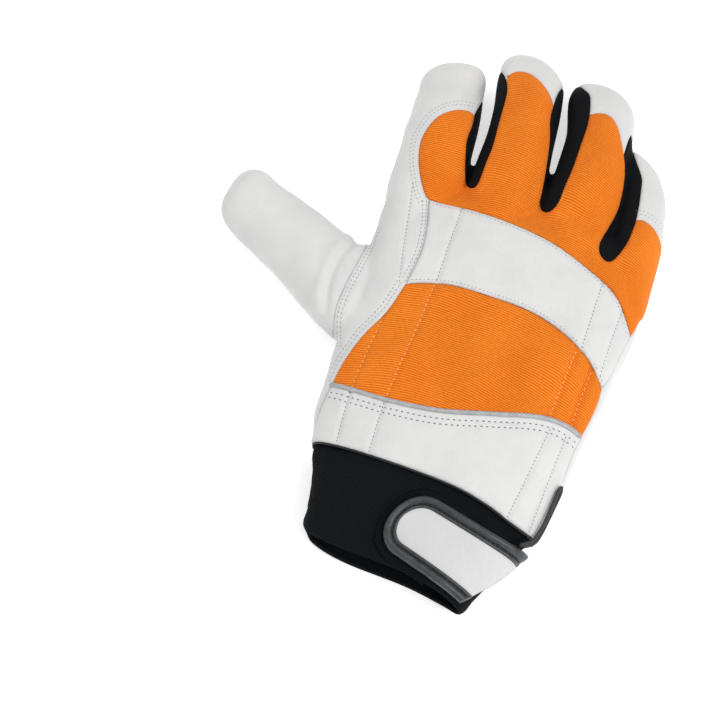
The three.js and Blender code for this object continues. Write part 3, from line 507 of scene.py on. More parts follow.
def cuff_point(y: float, arc: float, offset: float) -> np.ndarray:
    """A place on the knit wrist: y along the glove and an arc round it from the middle of its back."""
    return on_ring(cuff_ring(-y / CUFF_LENGTH, offset), arc)


def hand_point(y: float, arc: float, offset: float) -> np.ndarray:
    """A place on the hand: y along the glove and an arc round it from the middle of its back."""
    return on_ring(hand_ring(y / HAND_LENGTH, offset, 240), arc)


# Mesh helpers


def object_from(bm: bmesh.types.BMesh, name: str, convert: bool = True) -> bpy.types.Object:
    """Makes an object of a mesh in progress, and frees it.

    Args:
        bm: The mesh in progress, in millimetres of the glove's frame.
        name: The object's name.
        convert: Whether its points are turned into the row's metres.

    Returns:
        The new object, linked to the scene.
    """
    mesh = bpy.data.meshes.new(name)
    if convert:
        bm.transform(Matrix.Scale(MM, 4) @ Matrix.Translation(Vector(SHIFT)))
    bm.to_mesh(mesh)
    bm.free()
    mesh.polygons.foreach_set("use_smooth", np.ones(len(mesh.polygons), bool))
    made = bpy.data.objects.new(name, mesh)
    bpy.context.scene.collection.objects.link(made)
    return made


def finished_mesh(source: bpy.types.Object) -> bpy.types.Mesh:
    """Takes an object's mesh with its modifiers applied, and removes the object."""
    graph = bpy.context.evaluated_depsgraph_get()
    mesh = bpy.data.meshes.new_from_object(source.evaluated_get(graph))
    old = source.data
    bpy.data.objects.remove(source)
    bpy.data.meshes.remove(old)
    return mesh


def apply_modifiers(target: bpy.types.Object) -> None:
    """Applies an object's modifiers to its mesh."""
    graph = bpy.context.evaluated_depsgraph_get()
    mesh = bpy.data.meshes.new_from_object(target.evaluated_get(graph))
    old = target.data
    target.modifiers.clear()
    target.data = mesh
    bpy.data.meshes.remove(old)


def coordinates(bm: bmesh.types.BMesh) -> np.ndarray:
    """The places of a mesh's points."""
    return np.array([vert.co[:] for vert in bm.verts], float).reshape(-1, 3)


def ring_edges(verts: Iterable[bmesh.types.BMVert]) -> list[bmesh.types.BMEdge]:
    """The edges that a new ring of points has."""
    return list({edge for vert in verts for edge in vert.link_edges})


def add_tube(bm: bmesh.types.BMesh, rings: Sequence[np.ndarray], closed_ends: bool = True) -> None:
    """Bridges circles that are moved onto given rings of points.

    Args:
        bm: The mesh that the tube is added to.
        rings: Rings with the same number of points.
        closed_ends: Whether the first and last ring get a face.
    """
    first: list[bmesh.types.BMEdge] = []
    last: list[bmesh.types.BMEdge] = []
    for ring in rings:
        verts = bmesh.ops.create_circle(bm, cap_ends=False, segments=len(ring), radius=1.0)["verts"]
        for vert, place in zip(verts, ring):
            vert.co = place
        edges = ring_edges(verts)
        if last:
            bmesh.ops.bridge_loops(bm, edges=last + edges)
        else:
            first = edges
        last = edges
    if closed_ends:
        bmesh.ops.holes_fill(bm, edges=first + last, sides=0)


Field = Callable[[np.ndarray], np.ndarray]


def cut_along(bm: bmesh.types.BMesh, zone: Field) -> None:
    """Puts edges along the line where a field is zero, moving the nearest points onto it.

    Args:
        bm: The mesh, in millimetres.
        zone: The field, a distance that is positive inside a zone.
    """
    bm.verts.index_update()
    bm.normal_update()
    points = coordinates(bm)
    normals = np.array([vert.normal[:] for vert in bm.verts])
    values = zone(points)
    near = np.flatnonzero(np.abs(values) < 0.3)
    base, step = points[near], 0.04
    slope = np.stack([(zone(base + d) - zone(base - d)) / (2 * step) for d in np.eye(3) * step], axis=1)
    slope -= normals[near] * (slope * normals[near]).sum(1, keepdims=True)
    steep = (slope**2).sum(1)
    move = np.where(steep[:, None] > 0.15,
                    -values[near, None] * slope / np.maximum(steep[:, None], 0.15), 0.0)
    points[near] += move
    values[near] = zone(points[near])
    bm.verts.ensure_lookup_table()
    for index in near:
        bm.verts[index].co = points[index]
    on_line = [bm.verts[index] for index in near if abs(values[index]) < 0.03]
    flat = np.where(np.abs(values) < 0.03, 0.0, values)
    crossing = [edge for edge in bm.edges if flat[edge.verts[0].index] * flat[edge.verts[1].index] < 0]
    for edge in crossing:
        start, end = edge.verts
        share = flat[start.index] / (flat[start.index] - flat[end.index])
        on_line.append(bmesh.utils.edge_split(edge, start, share)[1])
    bmesh.ops.connect_verts(bm, verts=on_line, check_degenerate=False)
    bm.verts.index_update()


def border_distance(bm: bmesh.types.BMesh, points: np.ndarray) -> np.ndarray:
    """Measures how far each point of an open sheet is from its border.

    Args:
        bm: The sheet.
        points: Its points' places.

    Returns:
        The distances, in the mesh's own unit.
    """
    rim = [edge for edge in bm.edges if edge.is_boundary]
    tree = KDTree(len(rim))
    for i, edge in enumerate(rim):
        tree.insert((edge.verts[0].co + edge.verts[1].co) / 2, i)
    tree.balance()
    ends = np.array([[vert.co[:] for vert in edge.verts] for edge in rim])
    found = np.array([[hit[1] for hit in (tree.find_n(point, 3) * 3)[:3]] for point in points], int)
    best = np.full(len(points), 1e9)
    for k in range(3):
        a, b = ends[found[:, k], 0], ends[found[:, k], 1]
        ab = b - a
        t = np.clip(((points - a) * ab).sum(1) / np.maximum((ab * ab).sum(1), 1e-12), 0, 1)
        best = np.minimum(best, np.linalg.norm(points - a - t[:, None] * ab, axis=1))
    return best


def keep_measure(target: bpy.types.Object, name: str, values: np.ndarray) -> None:
    """Keeps a number for each point of an object's mesh, for its material to read."""
    layer = target.data.attributes.new(name, "FLOAT", "POINT")
    layer.data.foreach_set("value", np.asarray(values, np.float32))


# Finishes


class Nodes:
    """A new material with its shader, and short ways to add nodes to it."""

    def __init__(self, name: str, colour: tuple[float, float, float], roughness: float) -> None:
        """Makes the material with one plain shader."""
        self.material = bpy.data.materials.new(name)
        self.material.use_nodes = True
        self.material.diffuse_color = (*colour, 1.0)
        self.tree = self.material.node_tree
        self.shader = next(node for node in self.tree.nodes if node.type == "BSDF_PRINCIPLED")
        self.set("Base Color", (*colour, 1.0))
        self.set("Roughness", roughness)
        self.place = self.add("ShaderNodeTexCoord").outputs["Object"]

    def set(self, socket: str, value: object) -> None:
        """Sets a value on the shader's own socket."""
        self.shader.inputs[socket].default_value = value

    def add(self, kind: str, settings: dict[str, object] | None = None, **inputs: object) -> bpy.types.Node:
        """Adds a node.

        Args:
            kind: The node's type.
            settings: The node's own settings.
            **inputs: Sockets by name, with underscores for spaces, as values or links.

        Returns:
            The node.
        """
        node = self.tree.nodes.new(kind)
        for key, value in (settings or {}).items():
            setattr(node, key, value)
        for key, value in inputs.items():
            numbered = key[0] == "i" and key[1:].isdigit()
            socket = node.inputs[int(key[1:]) if numbered else key.replace("_", " ")]
            self.join(socket, value)
        return node

    def join(self, socket: bpy.types.NodeSocket, value: object) -> None:
        """Links or sets a socket."""
        if isinstance(value, bpy.types.NodeSocket):
            self.tree.links.new(value, socket)
        else:
            socket.default_value = value

    def sum(self, kind: str, a: object, b: object, c: object = 0.0) -> bpy.types.NodeSocket:
        """Works out a number from two or three others."""
        return self.add("ShaderNodeMath", {"operation": kind}, i0=a, i1=b, i2=c).outputs[0]

    def noise(self, scale: float, detail: float = 3.0, place: object = None,
              rough: float = 0.55) -> bpy.types.NodeSocket:
        """Adds soft uneven noise, with about this many waves to a metre."""
        return self.add("ShaderNodeTexNoise", None, Vector=place or self.place, Scale=scale, Detail=detail,
                        Roughness=rough).outputs["Fac"]

    def ramp(self, value: object, stops: Sequence[tuple[float, float]]) -> bpy.types.NodeSocket:
        """Maps a number through stops of place and value."""
        node = self.add("ShaderNodeMapRange", {"clamp": True}, Value=value, From_Min=stops[0][0],
                        From_Max=stops[1][0], To_Min=stops[0][1], To_Max=stops[1][1])
        return node.outputs[0]

    def blend(self, share: object, a: Sequence[float], b: object) -> bpy.types.NodeSocket:
        """Mixes two colours."""
        node = self.add("ShaderNodeMix", {"data_type": "RGBA"})
        self.join(node.inputs[0], share)
        self.join(node.inputs[6], (*a, 1.0) if isinstance(a, tuple) else a)
        self.join(node.inputs[7], (*b, 1.0) if isinstance(b, tuple) else b)
        return node.outputs[2]

    def measure(self, name: str) -> bpy.types.NodeSocket:
        """Reads a number that the mesh keeps for each point."""
        return self.add("ShaderNodeAttribute", {"attribute_name": name}).outputs["Fac"]

    def bump(self, heights: Sequence[tuple[object, float]]) -> None:
        """Adds relief: pairs of a height from 0 to 1 and its depth in metres."""
        normal: object = None
        for height, depth in heights:
            node = self.add("ShaderNodeBump", None, Height=height, Distance=depth, Strength=1.0)
            if normal is not None:
                self.join(node.inputs["Normal"], normal)
            normal = node.outputs["Normal"]
        self.tree.links.new(normal, self.shader.inputs["Normal"])

    def colour(self, value: object) -> None:
        """Links the shader's base colour."""
        self.tree.links.new(value, self.shader.inputs["Base Color"])


@dataclass(frozen=True)
class Leather:
    """Smooth white grain leather, greyer in soft random patches, with painted shade along its seams."""

    name: str = "white_leather"
    light: tuple[float, float, float] = (0.68, 0.68, 0.67)
    # The darker colour: for soft random patches, and for painted shade along the seams.
    patch_and_seam_shade: tuple[float, float, float] = (0.53, 0.535, 0.54)
    roughness: float = 0.5
    grain: float = 1500.0
    grain_depth: float = 0.00005

    def make(self) -> bpy.types.Material:
        """Makes the material."""
        n = Nodes(self.name, self.light, self.roughness)
        n.set("Specular IOR Level", 0.38)
        cells = n.add("ShaderNodeTexVoronoi", {"feature": "DISTANCE_TO_EDGE"},
                      Vector=n.place, Scale=self.grain,
                      Randomness=1.0).outputs["Distance"]
        pebble = n.ramp(cells, ((0.0, 0.0), (0.18, 1.0)))
        broad = n.noise(45.0, 4.0)
        fine = n.noise(420.0, 3.0)
        patch = n.ramp(broad, ((0.38, 0.0), (0.68, 0.35)))
        # Painted shade: up to 0.3 of the way to the darker colour within about 1.8 mm of a panel's edge.
        edge = n.ramp(n.measure("edge"), ((0.0, 0.3), (0.0018, 0.0)))
        tone = n.sum("ADD", patch, edge)
        n.colour(n.blend(tone, self.light, self.patch_and_seam_shade))
        n.bump(((pebble, self.grain_depth), (fine, 0.00012), (broad, 0.0005)))
        return n.material


@dataclass(frozen=True)
class RibbedTextile:
    """Bright orange textile with fine ribs across the glove; painted highlight on crests, painted shade in
    grooves.
    """

    name: str = "orange_textile"
    # The crest colour is a painted highlight on the ribs, the groove colour painted shade between them.
    crest_highlight: tuple[float, float, float] = (1.0, 0.302, 0.027)
    groove: tuple[float, float, float] = (0.8, 0.13, 0.004)
    pitch: float = 0.00109
    thread: float = 0.00055

    def make(self) -> bpy.types.Material:
        """Makes the material."""
        n = Nodes(self.name, self.crest_highlight, 0.82)
        n.set("Specular IOR Level", 0.12)
        n.set("Sheen Weight", 0.05)
        n.set("Sheen Roughness", 0.5)
        n.set("Sheen Tint", (1.0, 0.5, 0.2, 1.0))
        place = n.add("ShaderNodeSeparateXYZ", None, Vector=n.place)
        turn = n.sum("MULTIPLY", n.measure("rib"), 2 * math.pi / self.pitch)
        wave = n.sum("MULTIPLY_ADD", n.sum("SINE", turn, 0.0), 0.5, 0.5)
        across = n.sum("MULTIPLY", place.outputs["X"], 2 * math.pi / self.thread)
        offset = n.sum("ADD", across, n.sum("MULTIPLY", turn, 0.5))
        beads = n.sum("MULTIPLY_ADD", n.sum("SINE", offset, 0.0), 0.5, 0.5)
        fuzz = n.noise(1900.0, 2.0)
        # Colour follows the ribs' relief: painted highlight on the crests, painted shade in the grooves, with
        # random fuzz and broad patches.
        crest_highlight = n.sum("MULTIPLY_ADD", wave, 0.72, n.sum("MULTIPLY", fuzz, 0.45))
        broad = n.ramp(n.noise(30.0, 3.0), ((0.35, 0.0), (0.7, 0.18)))
        tone = n.ramp(n.sum("SUBTRACT", crest_highlight, broad), ((0.1, 0.0), (0.85, 1.0)))
        n.colour(n.blend(tone, self.groove, self.crest_highlight))
        n.bump(((wave, 0.0003), (beads, 0.00012), (fuzz, 0.0001)))
        return n.material


@dataclass(frozen=True)
class BlackTextile:
    """Black textile: a stretch weave, a rib knit or the loops of a fastening patch."""

    name: str
    light: tuple[float, float, float] = (0.0075, 0.0092, 0.0115)
    dark: tuple[float, float, float] = (0.0025, 0.0032, 0.0042)
    pitch: float = 0.0009
    depth: float = 0.0002
    roughness: float = 0.85
    sheen: float = 0.0

    def make(self) -> bpy.types.Material:
        """Makes the material."""
        n = Nodes(self.name, self.light, self.roughness)
        n.set("Specular IOR Level", 0.09)
        n.set("Sheen Weight", self.sheen)
        n.set("Sheen Roughness", 0.45)
        place = n.add("ShaderNodeSeparateXYZ", None, Vector=n.place)
        wander = n.sum("MULTIPLY", n.noise(60.0, 2.0), 0.0015)
        turn = n.sum("MULTIPLY", n.sum("ADD", place.outputs["Y"], wander), 2 * math.pi / self.pitch)
        wave = n.sum("MULTIPLY_ADD", n.sum("SINE", turn, 0.0), 0.5, 0.5)
        across = n.sum("MULTIPLY", n.sum("ADD", place.outputs["X"], place.outputs["Z"]),
                       2 * math.pi / (self.pitch * 0.8))
        loops = n.sum("MULTIPLY_ADD",
                      n.sum("SINE", n.sum("ADD", across, n.sum("MULTIPLY", turn, 0.5)), 0.0), 0.5, 0.5)
        fuzz = n.noise(1500.0, 2.0)
        relief = n.sum("MULTIPLY", wave, loops)
        tone = n.ramp(n.sum("ADD", n.sum("MULTIPLY", relief, 0.6), n.sum("MULTIPLY", fuzz, 0.5)),
                      ((0.15, 0.0), (0.8, 1.0)))
        n.colour(n.blend(tone, self.dark, self.light))
        n.bump(((relief, self.depth), (fuzz, 0.00015)))
        return n.material


@dataclass(frozen=True)
class Satin:
    """A smooth or brushed finish: binding, piping, cord and sewing thread."""

    name: str
    light: tuple[float, float, float]
    dark: tuple[float, float, float]
    roughness: float
    metallic: float = 0.0
    noise: float = 300.0
    depth: float = 0.0001

    def make(self) -> bpy.types.Material:
        """Makes the material."""
        n = Nodes(self.name, self.light, self.roughness)
        n.set("Metallic", self.metallic)
        broad, fine = n.noise(self.noise, 3.0), n.noise(self.noise * 6, 2.0)
        n.colour(n.blend(n.ramp(broad, ((0.3, 0.0), (0.7, 1.0))), self.dark, self.light))
        n.bump(((broad, self.depth * 2), (fine, self.depth)))
        return n.material


class Finish(Enum):
    """The finishes of the glove."""

    LEATHER = Leather()
    STRAP_LEATHER = Leather("strap_leather", (0.61, 0.615, 0.61), (0.5, 0.505, 0.51))
    ORANGE = RibbedTextile()
    STRETCH = BlackTextile("black_stretch", pitch=0.0007, depth=0.00008, roughness=0.78)
    KNIT = BlackTextile("black_knit", light=(0.01, 0.0125, 0.0155), pitch=0.0011, depth=0.0003)
    LOOPS = BlackTextile("black_loop_patch", light=(0.011, 0.013, 0.016), pitch=0.0008, depth=0.00035)
    PIPING = Satin("silver_piping", (0.44, 0.455, 0.465), (0.32, 0.33, 0.34), 0.42, 0.1)
    BINDING = Satin("grey_binding", (0.05, 0.053, 0.057), (0.02, 0.022, 0.025), 0.38, 0.0, 260.0, 0.00012)
    CORD = Satin("black_cord", (0.037, 0.039, 0.042), (0.01, 0.011, 0.013), 0.6, 0.0, 900.0, 0.00012)
    ROLL = Satin("black_roll", (0.011, 0.012, 0.014), (0.004, 0.005, 0.006), 0.6, 0.0, 500.0, 0.0001)
    GREY_THREAD = Satin("grey_thread", (0.24, 0.265, 0.3), (0.13, 0.145, 0.17), 0.6, 0.0, 1500.0, 0.00004)
    CREAM_THREAD = Satin("cream_thread", (0.92, 0.55, 0.24), (0.8, 0.4, 0.14), 0.6, 0.0, 1500.0, 0.00004)
    BLACK_THREAD = Satin("black_thread", (0.012, 0.012, 0.013), (0.004, 0.004, 0.005),
                         0.6, 0.0, 1500.0, 0.00004)

    def material(self) -> bpy.types.Material:
        """Gives the finish's material, made once."""
        return bpy.data.materials.get(self.value.name) or self.value.make()


# The skin and its panels


@dataclass(frozen=True)
class Groove:
    """A sewn line that sinks into a panel: its points in plan, how deep and how wide it is."""

    line: np.ndarray
    depth: float
    width: float
    pucker: float = 0.0


@dataclass(frozen=True)
class Cut:
    """A panel's edge: how far its middle stands up, how low its edge lies, and the roll's width."""

    proud: float
    edge: float
    roll: float
    wall: float = 1.3


class Skin:
    """The glove's outer form without its knit wrist, as one sheet cut along its seams."""

    voxel = 1.0
    smoothing = 9
    sides = 84

    def __init__(self) -> None:
        """Lofts the hand and the fingers, melts them into one form and cuts it along every seam."""
        self.knuckles = self.knuckle_outline()
        band_top, band_bottom = seam(BAND_TOP), seam(BAND_BOTTOM)
        piping = seam(PIPING_LINE)
        self.band = np.vstack([band_top, band_bottom[::-1], seam(BAND_LEFT)[::-1][1:-1]])
        self.back = np.vstack([band_bottom, piping[::-1], seam(BACK_LEFT)[::-1][1:-1]])
        self.wrist = np.vstack([piping, [[74.0, -42.0]], seam(WRIST_LEFT)[::-1][:-1]])
        self.under_band = np.vstack([[[-300.0, band_top[0, 1]]], band_top, [[300.0, band_top[-1, 1]]],
                                     [[300.0, -140.0]], [[-300.0, -140.0]]])
        self.thumb = np.vstack([seam(THUMB_SEAM),
                                [[-79.0, 28.0], [-300.0, 28.0], [-300.0, 160.0], [-79.0, 117.0]]])
        self.cuff = np.vstack([seam(CUFF_SEAM), FAR_CORNERS])
        self.outer = np.vstack([smooth_line(OUTER_SEAM), [[30.0, -200.0], [-200.0, -200.0], [-200.0, 200.0],
                                                         [80.0, 200.0]]])
        self.zones: dict[str, Field] = {fork.name: self.fork_zone(fork) for fork in FORKS}
        self.zones |= {
            "finger_back_textile": self.finger_back_zone,
            "knuckle_band_leather": self.hand_zone(self.band),
            "hand_back_textile": self.hand_zone(self.back),
            "wrist_back_leather": self.hand_zone(self.wrist),
            "thumb_leather": lambda p: inside_outline(p, self.thumb),
        }
        self.sheet = self.melt()
        for zone in [lambda p: inside_outline(p, self.cuff), *self.zones.values()]:
            cut_along(self.sheet, zone)
        self.names = self.name_faces()
        self.ease_seams()
        self.panels: dict[str, bpy.types.Object] = {}

    def knuckle_outline(self) -> np.ndarray:
        """The textile over the knuckles and the fingers as it is seen, crown by crown and fork by fork."""
        curves = [smooth_line(INDEX_CROWN)]
        for fork, crown in zip(FORKS, (MIDDLE_CROWN, RING_CROWN, LITTLE_CROWN)):
            curves += [fork.textile_edge, smooth_line(crown)]
        return np.vstack(curves + [[[115.0, 5.0], [115.0, -60.0], [-20.2, -60.0]]])

    def hand_zone(self, outline: np.ndarray) -> Field:
        """A zone of the back of the hand inside an outline, between the seams along its two sides."""
        return lambda p: np.minimum.reduce([inside_outline(p, outline), p[:, 2] - BACK_LEVEL,
                                            inside_outline(seen(p), self.outer)])

    def finger_back_zone(self, p: np.ndarray) -> np.ndarray:
        """The zone of the textile over the knuckles and the backs of the fingers."""
        sight = seen(p)
        plan = np.minimum.reduce([inside_outline(sight, self.knuckles), -inside_outline(p, self.under_band),
                                  np.maximum(inside_outline(sight, self.outer), (sight[:, 1] - 4.0) * 0.5)])
        upper = np.minimum(p[:, 2] - BACK_LEVEL, 144.0 - p[:, 1])
        for finger in FINGERS.values():
            share, aside, above, wide, _ = finger.locate(p)
            reach = np.minimum(wide + 3.0 - np.abs(aside), (share + 0.02) * finger.length)
            upper = np.maximum(upper, np.minimum(above, reach))
        return np.minimum(plan, upper)

    def fork_zone(self, fork: Fork) -> Field:
        """The zone of one black fork: inside its rim as it is seen, and above the palm leather's sides."""
        outline = fork.outline
        fingers = (FINGERS[fork.left], FINGERS[fork.right])

        def zone(p: np.ndarray) -> np.ndarray:
            """Distance inside the fork."""
            best = inside_outline(seen(p), outline)
            near = np.flatnonzero(best > -3.0)
            close = p[near]
            level, nearest = np.full(len(near), -1e3), np.full(len(near), 1e9)
            for finger in fingers:
                _, aside, above, wide, thick = finger.locate(close)
                off = np.abs(aside) / wide
                level = np.where(off < nearest, above - FORK_LEVEL * thick, level)
                nearest = np.minimum(off, nearest)
            level += 9.0 * np.clip(1 - (close[:, 1] - fork.end) / 32.0, 0, 1)
            best[near] = np.minimum(best[near], level)
            return best

        return zone

    def melt(self) -> bmesh.types.BMesh:
        """Lofts the hand, the fingers and the thumb and melts them into one smooth form."""
        rough = bmesh.new()
        add_tube(rough, [hand_ring(t, 0.0, self.sides) for t in np.linspace(-0.2, 1.03, 44)])
        for finger in [*FINGERS.values(), THUMB]:
            add_tube(rough, finger.rings(56))
        for start, end in WEBS:
            path = smooth_line([start, np.mean([start, end], axis=0), end], 4)
            size = np.linspace(1, WEB_TAPER, len(path))
            side, up = np.array([1.0, 0, 0]), np.array([0, 0, 1.0])
            half = WEB_HALF
            add_tube(rough, [rounded_ring(at, side, up, half[0] * k, half[1] * k, 24, 2.0)
                             for at, k in zip(path, size)])
        bmesh.ops.recalc_face_normals(rough, faces=rough.faces)
        form = object_from(rough, "form", convert=False)
        remesh = form.modifiers.new("melt", "REMESH")
        remesh.mode = "VOXEL"
        remesh.voxel_size = self.voxel
        soften = form.modifiers.new("soften", "SMOOTH")
        soften.iterations = self.smoothing
        soften.factor = 0.5
        mesh = finished_mesh(form)
        sheet = bmesh.new()
        sheet.from_mesh(mesh)
        bpy.data.meshes.remove(mesh)
        return sheet

    def name_faces(self) -> list[str]:
        """Names the panel that each face belongs to. Faces beyond the wrist's seam get no name."""
        middles = np.array([face.calc_center_median()[:] for face in self.sheet.faces])
        names = np.full(len(middles), "palm_leather", dtype=object)
        for name, zone in reversed(self.zones.items()):
            names[zone(middles) > 0] = name
        names[inside_outline(middles, self.cuff) > 0] = ""
        self.sheet.faces.index_update()
        self.sheet.faces.ensure_lookup_table()
        for name in [*self.zones, "palm_leather"]:
            left = {int(i) for i in np.flatnonzero(names == name)}
            islands: list[list[int]] = []
            while left:
                island, queue = [], [left.pop()]
                while queue:
                    index = queue.pop()
                    island.append(index)
                    for edge in self.sheet.faces[index].edges:
                        for face in edge.link_faces:
                            if face.index in left:
                                left.discard(face.index)
                                queue.append(face.index)
                islands.append(island)
            for island in sorted(islands, key=len)[:-1]:
                names[island] = "palm_leather" if name != "palm_leather" else ""
        self.trim_spikes(names)
        return list(names)

    def trim_spikes(self, names: np.ndarray, rounds: int = 4) -> None:
        """Gives faces that stick out of their panel's seam to the panel beside them."""
        for _ in range(rounds):
            seams = [edge for edge in self.sheet.edges
                     if len({names[face.index] for face in edge.link_faces}) > 1]
            for face in {face for edge in seams for face in edge.link_faces}:
                beside_it = [names[other.index]
                             for edge in face.edges for other in edge.link_faces if other is not face]
                most = max(set(beside_it), key=beside_it.count)
                if beside_it.count(names[face.index]) <= 1 and beside_it.count(most) > 1:
                    names[face.index] = most

    def ease_seams(self, rounds: int = 8) -> None:
        """Smooths the seams along their own run, and then the skin close to them."""
        nexts: dict[int, list[int]] = {}
        self.sheet.verts.index_update()
        self.sheet.verts.ensure_lookup_table()
        for edge in self.sheet.edges:
            if len({self.names[face.index] for face in edge.link_faces}) > 1:
                a, b = edge.verts
                nexts.setdefault(a.index, []).append(b.index)
                nexts.setdefault(b.index, []).append(a.index)
        chain = np.array([(i, *ends) for i, ends in nexts.items() if len(ends) == 2])
        points = coordinates(self.sheet)
        here, left, right = chain.T
        for _ in range(rounds):
            points[here] += 0.5 * ((points[left] + points[right]) / 2 - points[here])
        for i in here:
            self.sheet.verts[i].co = points[i]
        close = {vert for i in nexts for vert in (edge.other_vert(self.sheet.verts[i])
                                                  for edge in self.sheet.verts[i].link_edges)}
        close |= {edge.other_vert(vert) for vert in close for edge in vert.link_edges}
        free = [vert for vert in close if vert.index not in nexts]
        for _ in range(3):
            bmesh.ops.smooth_vert(self.sheet, verts=free, factor=0.5,
                                  use_axis_x=True, use_axis_y=True, use_axis_z=True)

    def panel(self, name: str, cut: Cut, finish: Finish, grooves: Sequence[Groove] = (),
              relief: Callable[[np.ndarray, np.ndarray], np.ndarray] | None = None) -> bpy.types.Object:
        """Takes one panel out of the skin, pads and presses it, and gives it a wall.

        Args:
            name: The panel's name, which is also the solid that it replaces.
            cut: How its edge is made.
            finish: Its finish.
            grooves: The sewn lines on it.
            relief: More height, worked out from places and distances from the edge.

        Returns:
            The panel's object.
        """
        self.sheet.normal_update()
        part = self.sheet.copy()
        part.faces.ensure_lookup_table()
        spare = [face for face, own in zip(part.faces, self.names) if own != name]
        normals = {vert.index: vert.normal.copy() for vert in part.verts}
        marks = part.verts.layers.int.new("mark")
        for vert in part.verts:
            vert[marks] = vert.index
        bmesh.ops.delete(part, geom=spare, context="FACES")
        points = coordinates(part)
        out = np.array([normals[vert[marks]][:] for vert in part.verts])
        distance = border_distance(part, points)
        height = cut.edge + (cut.proud - cut.edge) * ease(distance / cut.roll)
        flat = np.clip(out[:, 2] * 2.2, 0, 1) * (0.3 + 0.7 * ease(distance / 1.6))
        for groove in grooves:
            away, place = line_distance(points, groove.line, 9.0)
            sink = groove.depth * np.exp(-((away / groove.width) ** 2))
            if groove.pucker:
                wave = np.sin(place * 1.15 + 2.2 * np.sin(place * 0.37))
                sink += groove.pucker * np.exp(-away / 3.2) * (0.5 + 0.5 * wave)
            height -= sink * flat
        if relief is not None:
            height += relief(points, distance)
        points += out * height[:, None]
        points[:, 2] = np.maximum(points[:, 2], 0.02)
        for vert, place in zip(part.verts, points):
            vert.co = place
        bmesh.ops.triangulate(part, faces=[face for face in part.faces if len(face.verts) > 4])
        made = object_from(part, f"{name}_panel")
        # Distance from the panel's edge, which the leather reads to paint shade along its seams.
        keep_measure(made, "edge", distance * MM)
        if finish is Finish.ORANGE:
            keep_measure(made, "rib", self.rib(points) * MM)
        wall = made.modifiers.new("wall", "SOLIDIFY")
        wall.thickness = cut.wall * MM
        wall.offset = -1.0
        apply_modifiers(made)
        made.data.materials.append(finish.material())
        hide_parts(name)
        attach(made, "root")
        self.panels[name] = made
        LOG.info("%s: %d faces", made.name, len(made.data.polygons))
        return made

    def rib(self, p: np.ndarray) -> np.ndarray:
        """How far along the textile's ribs a place is. They arch over the hand and sag below the forks."""
        along = p[:, 1] + 0.0022 * (p[:, 0] + 18.0) ** 2 + 0.9 * soft_noise(p, 42.0, 21)
        for fork, across in zip(FORKS, (-27.0, 10.0, 45.0)):
            away = np.hypot(p[:, 0] - across, (p[:, 1] - fork.end + 4.0) * 1.2)
            along += 3.0 * np.exp(-((away / 11.0) ** 2))
        return along


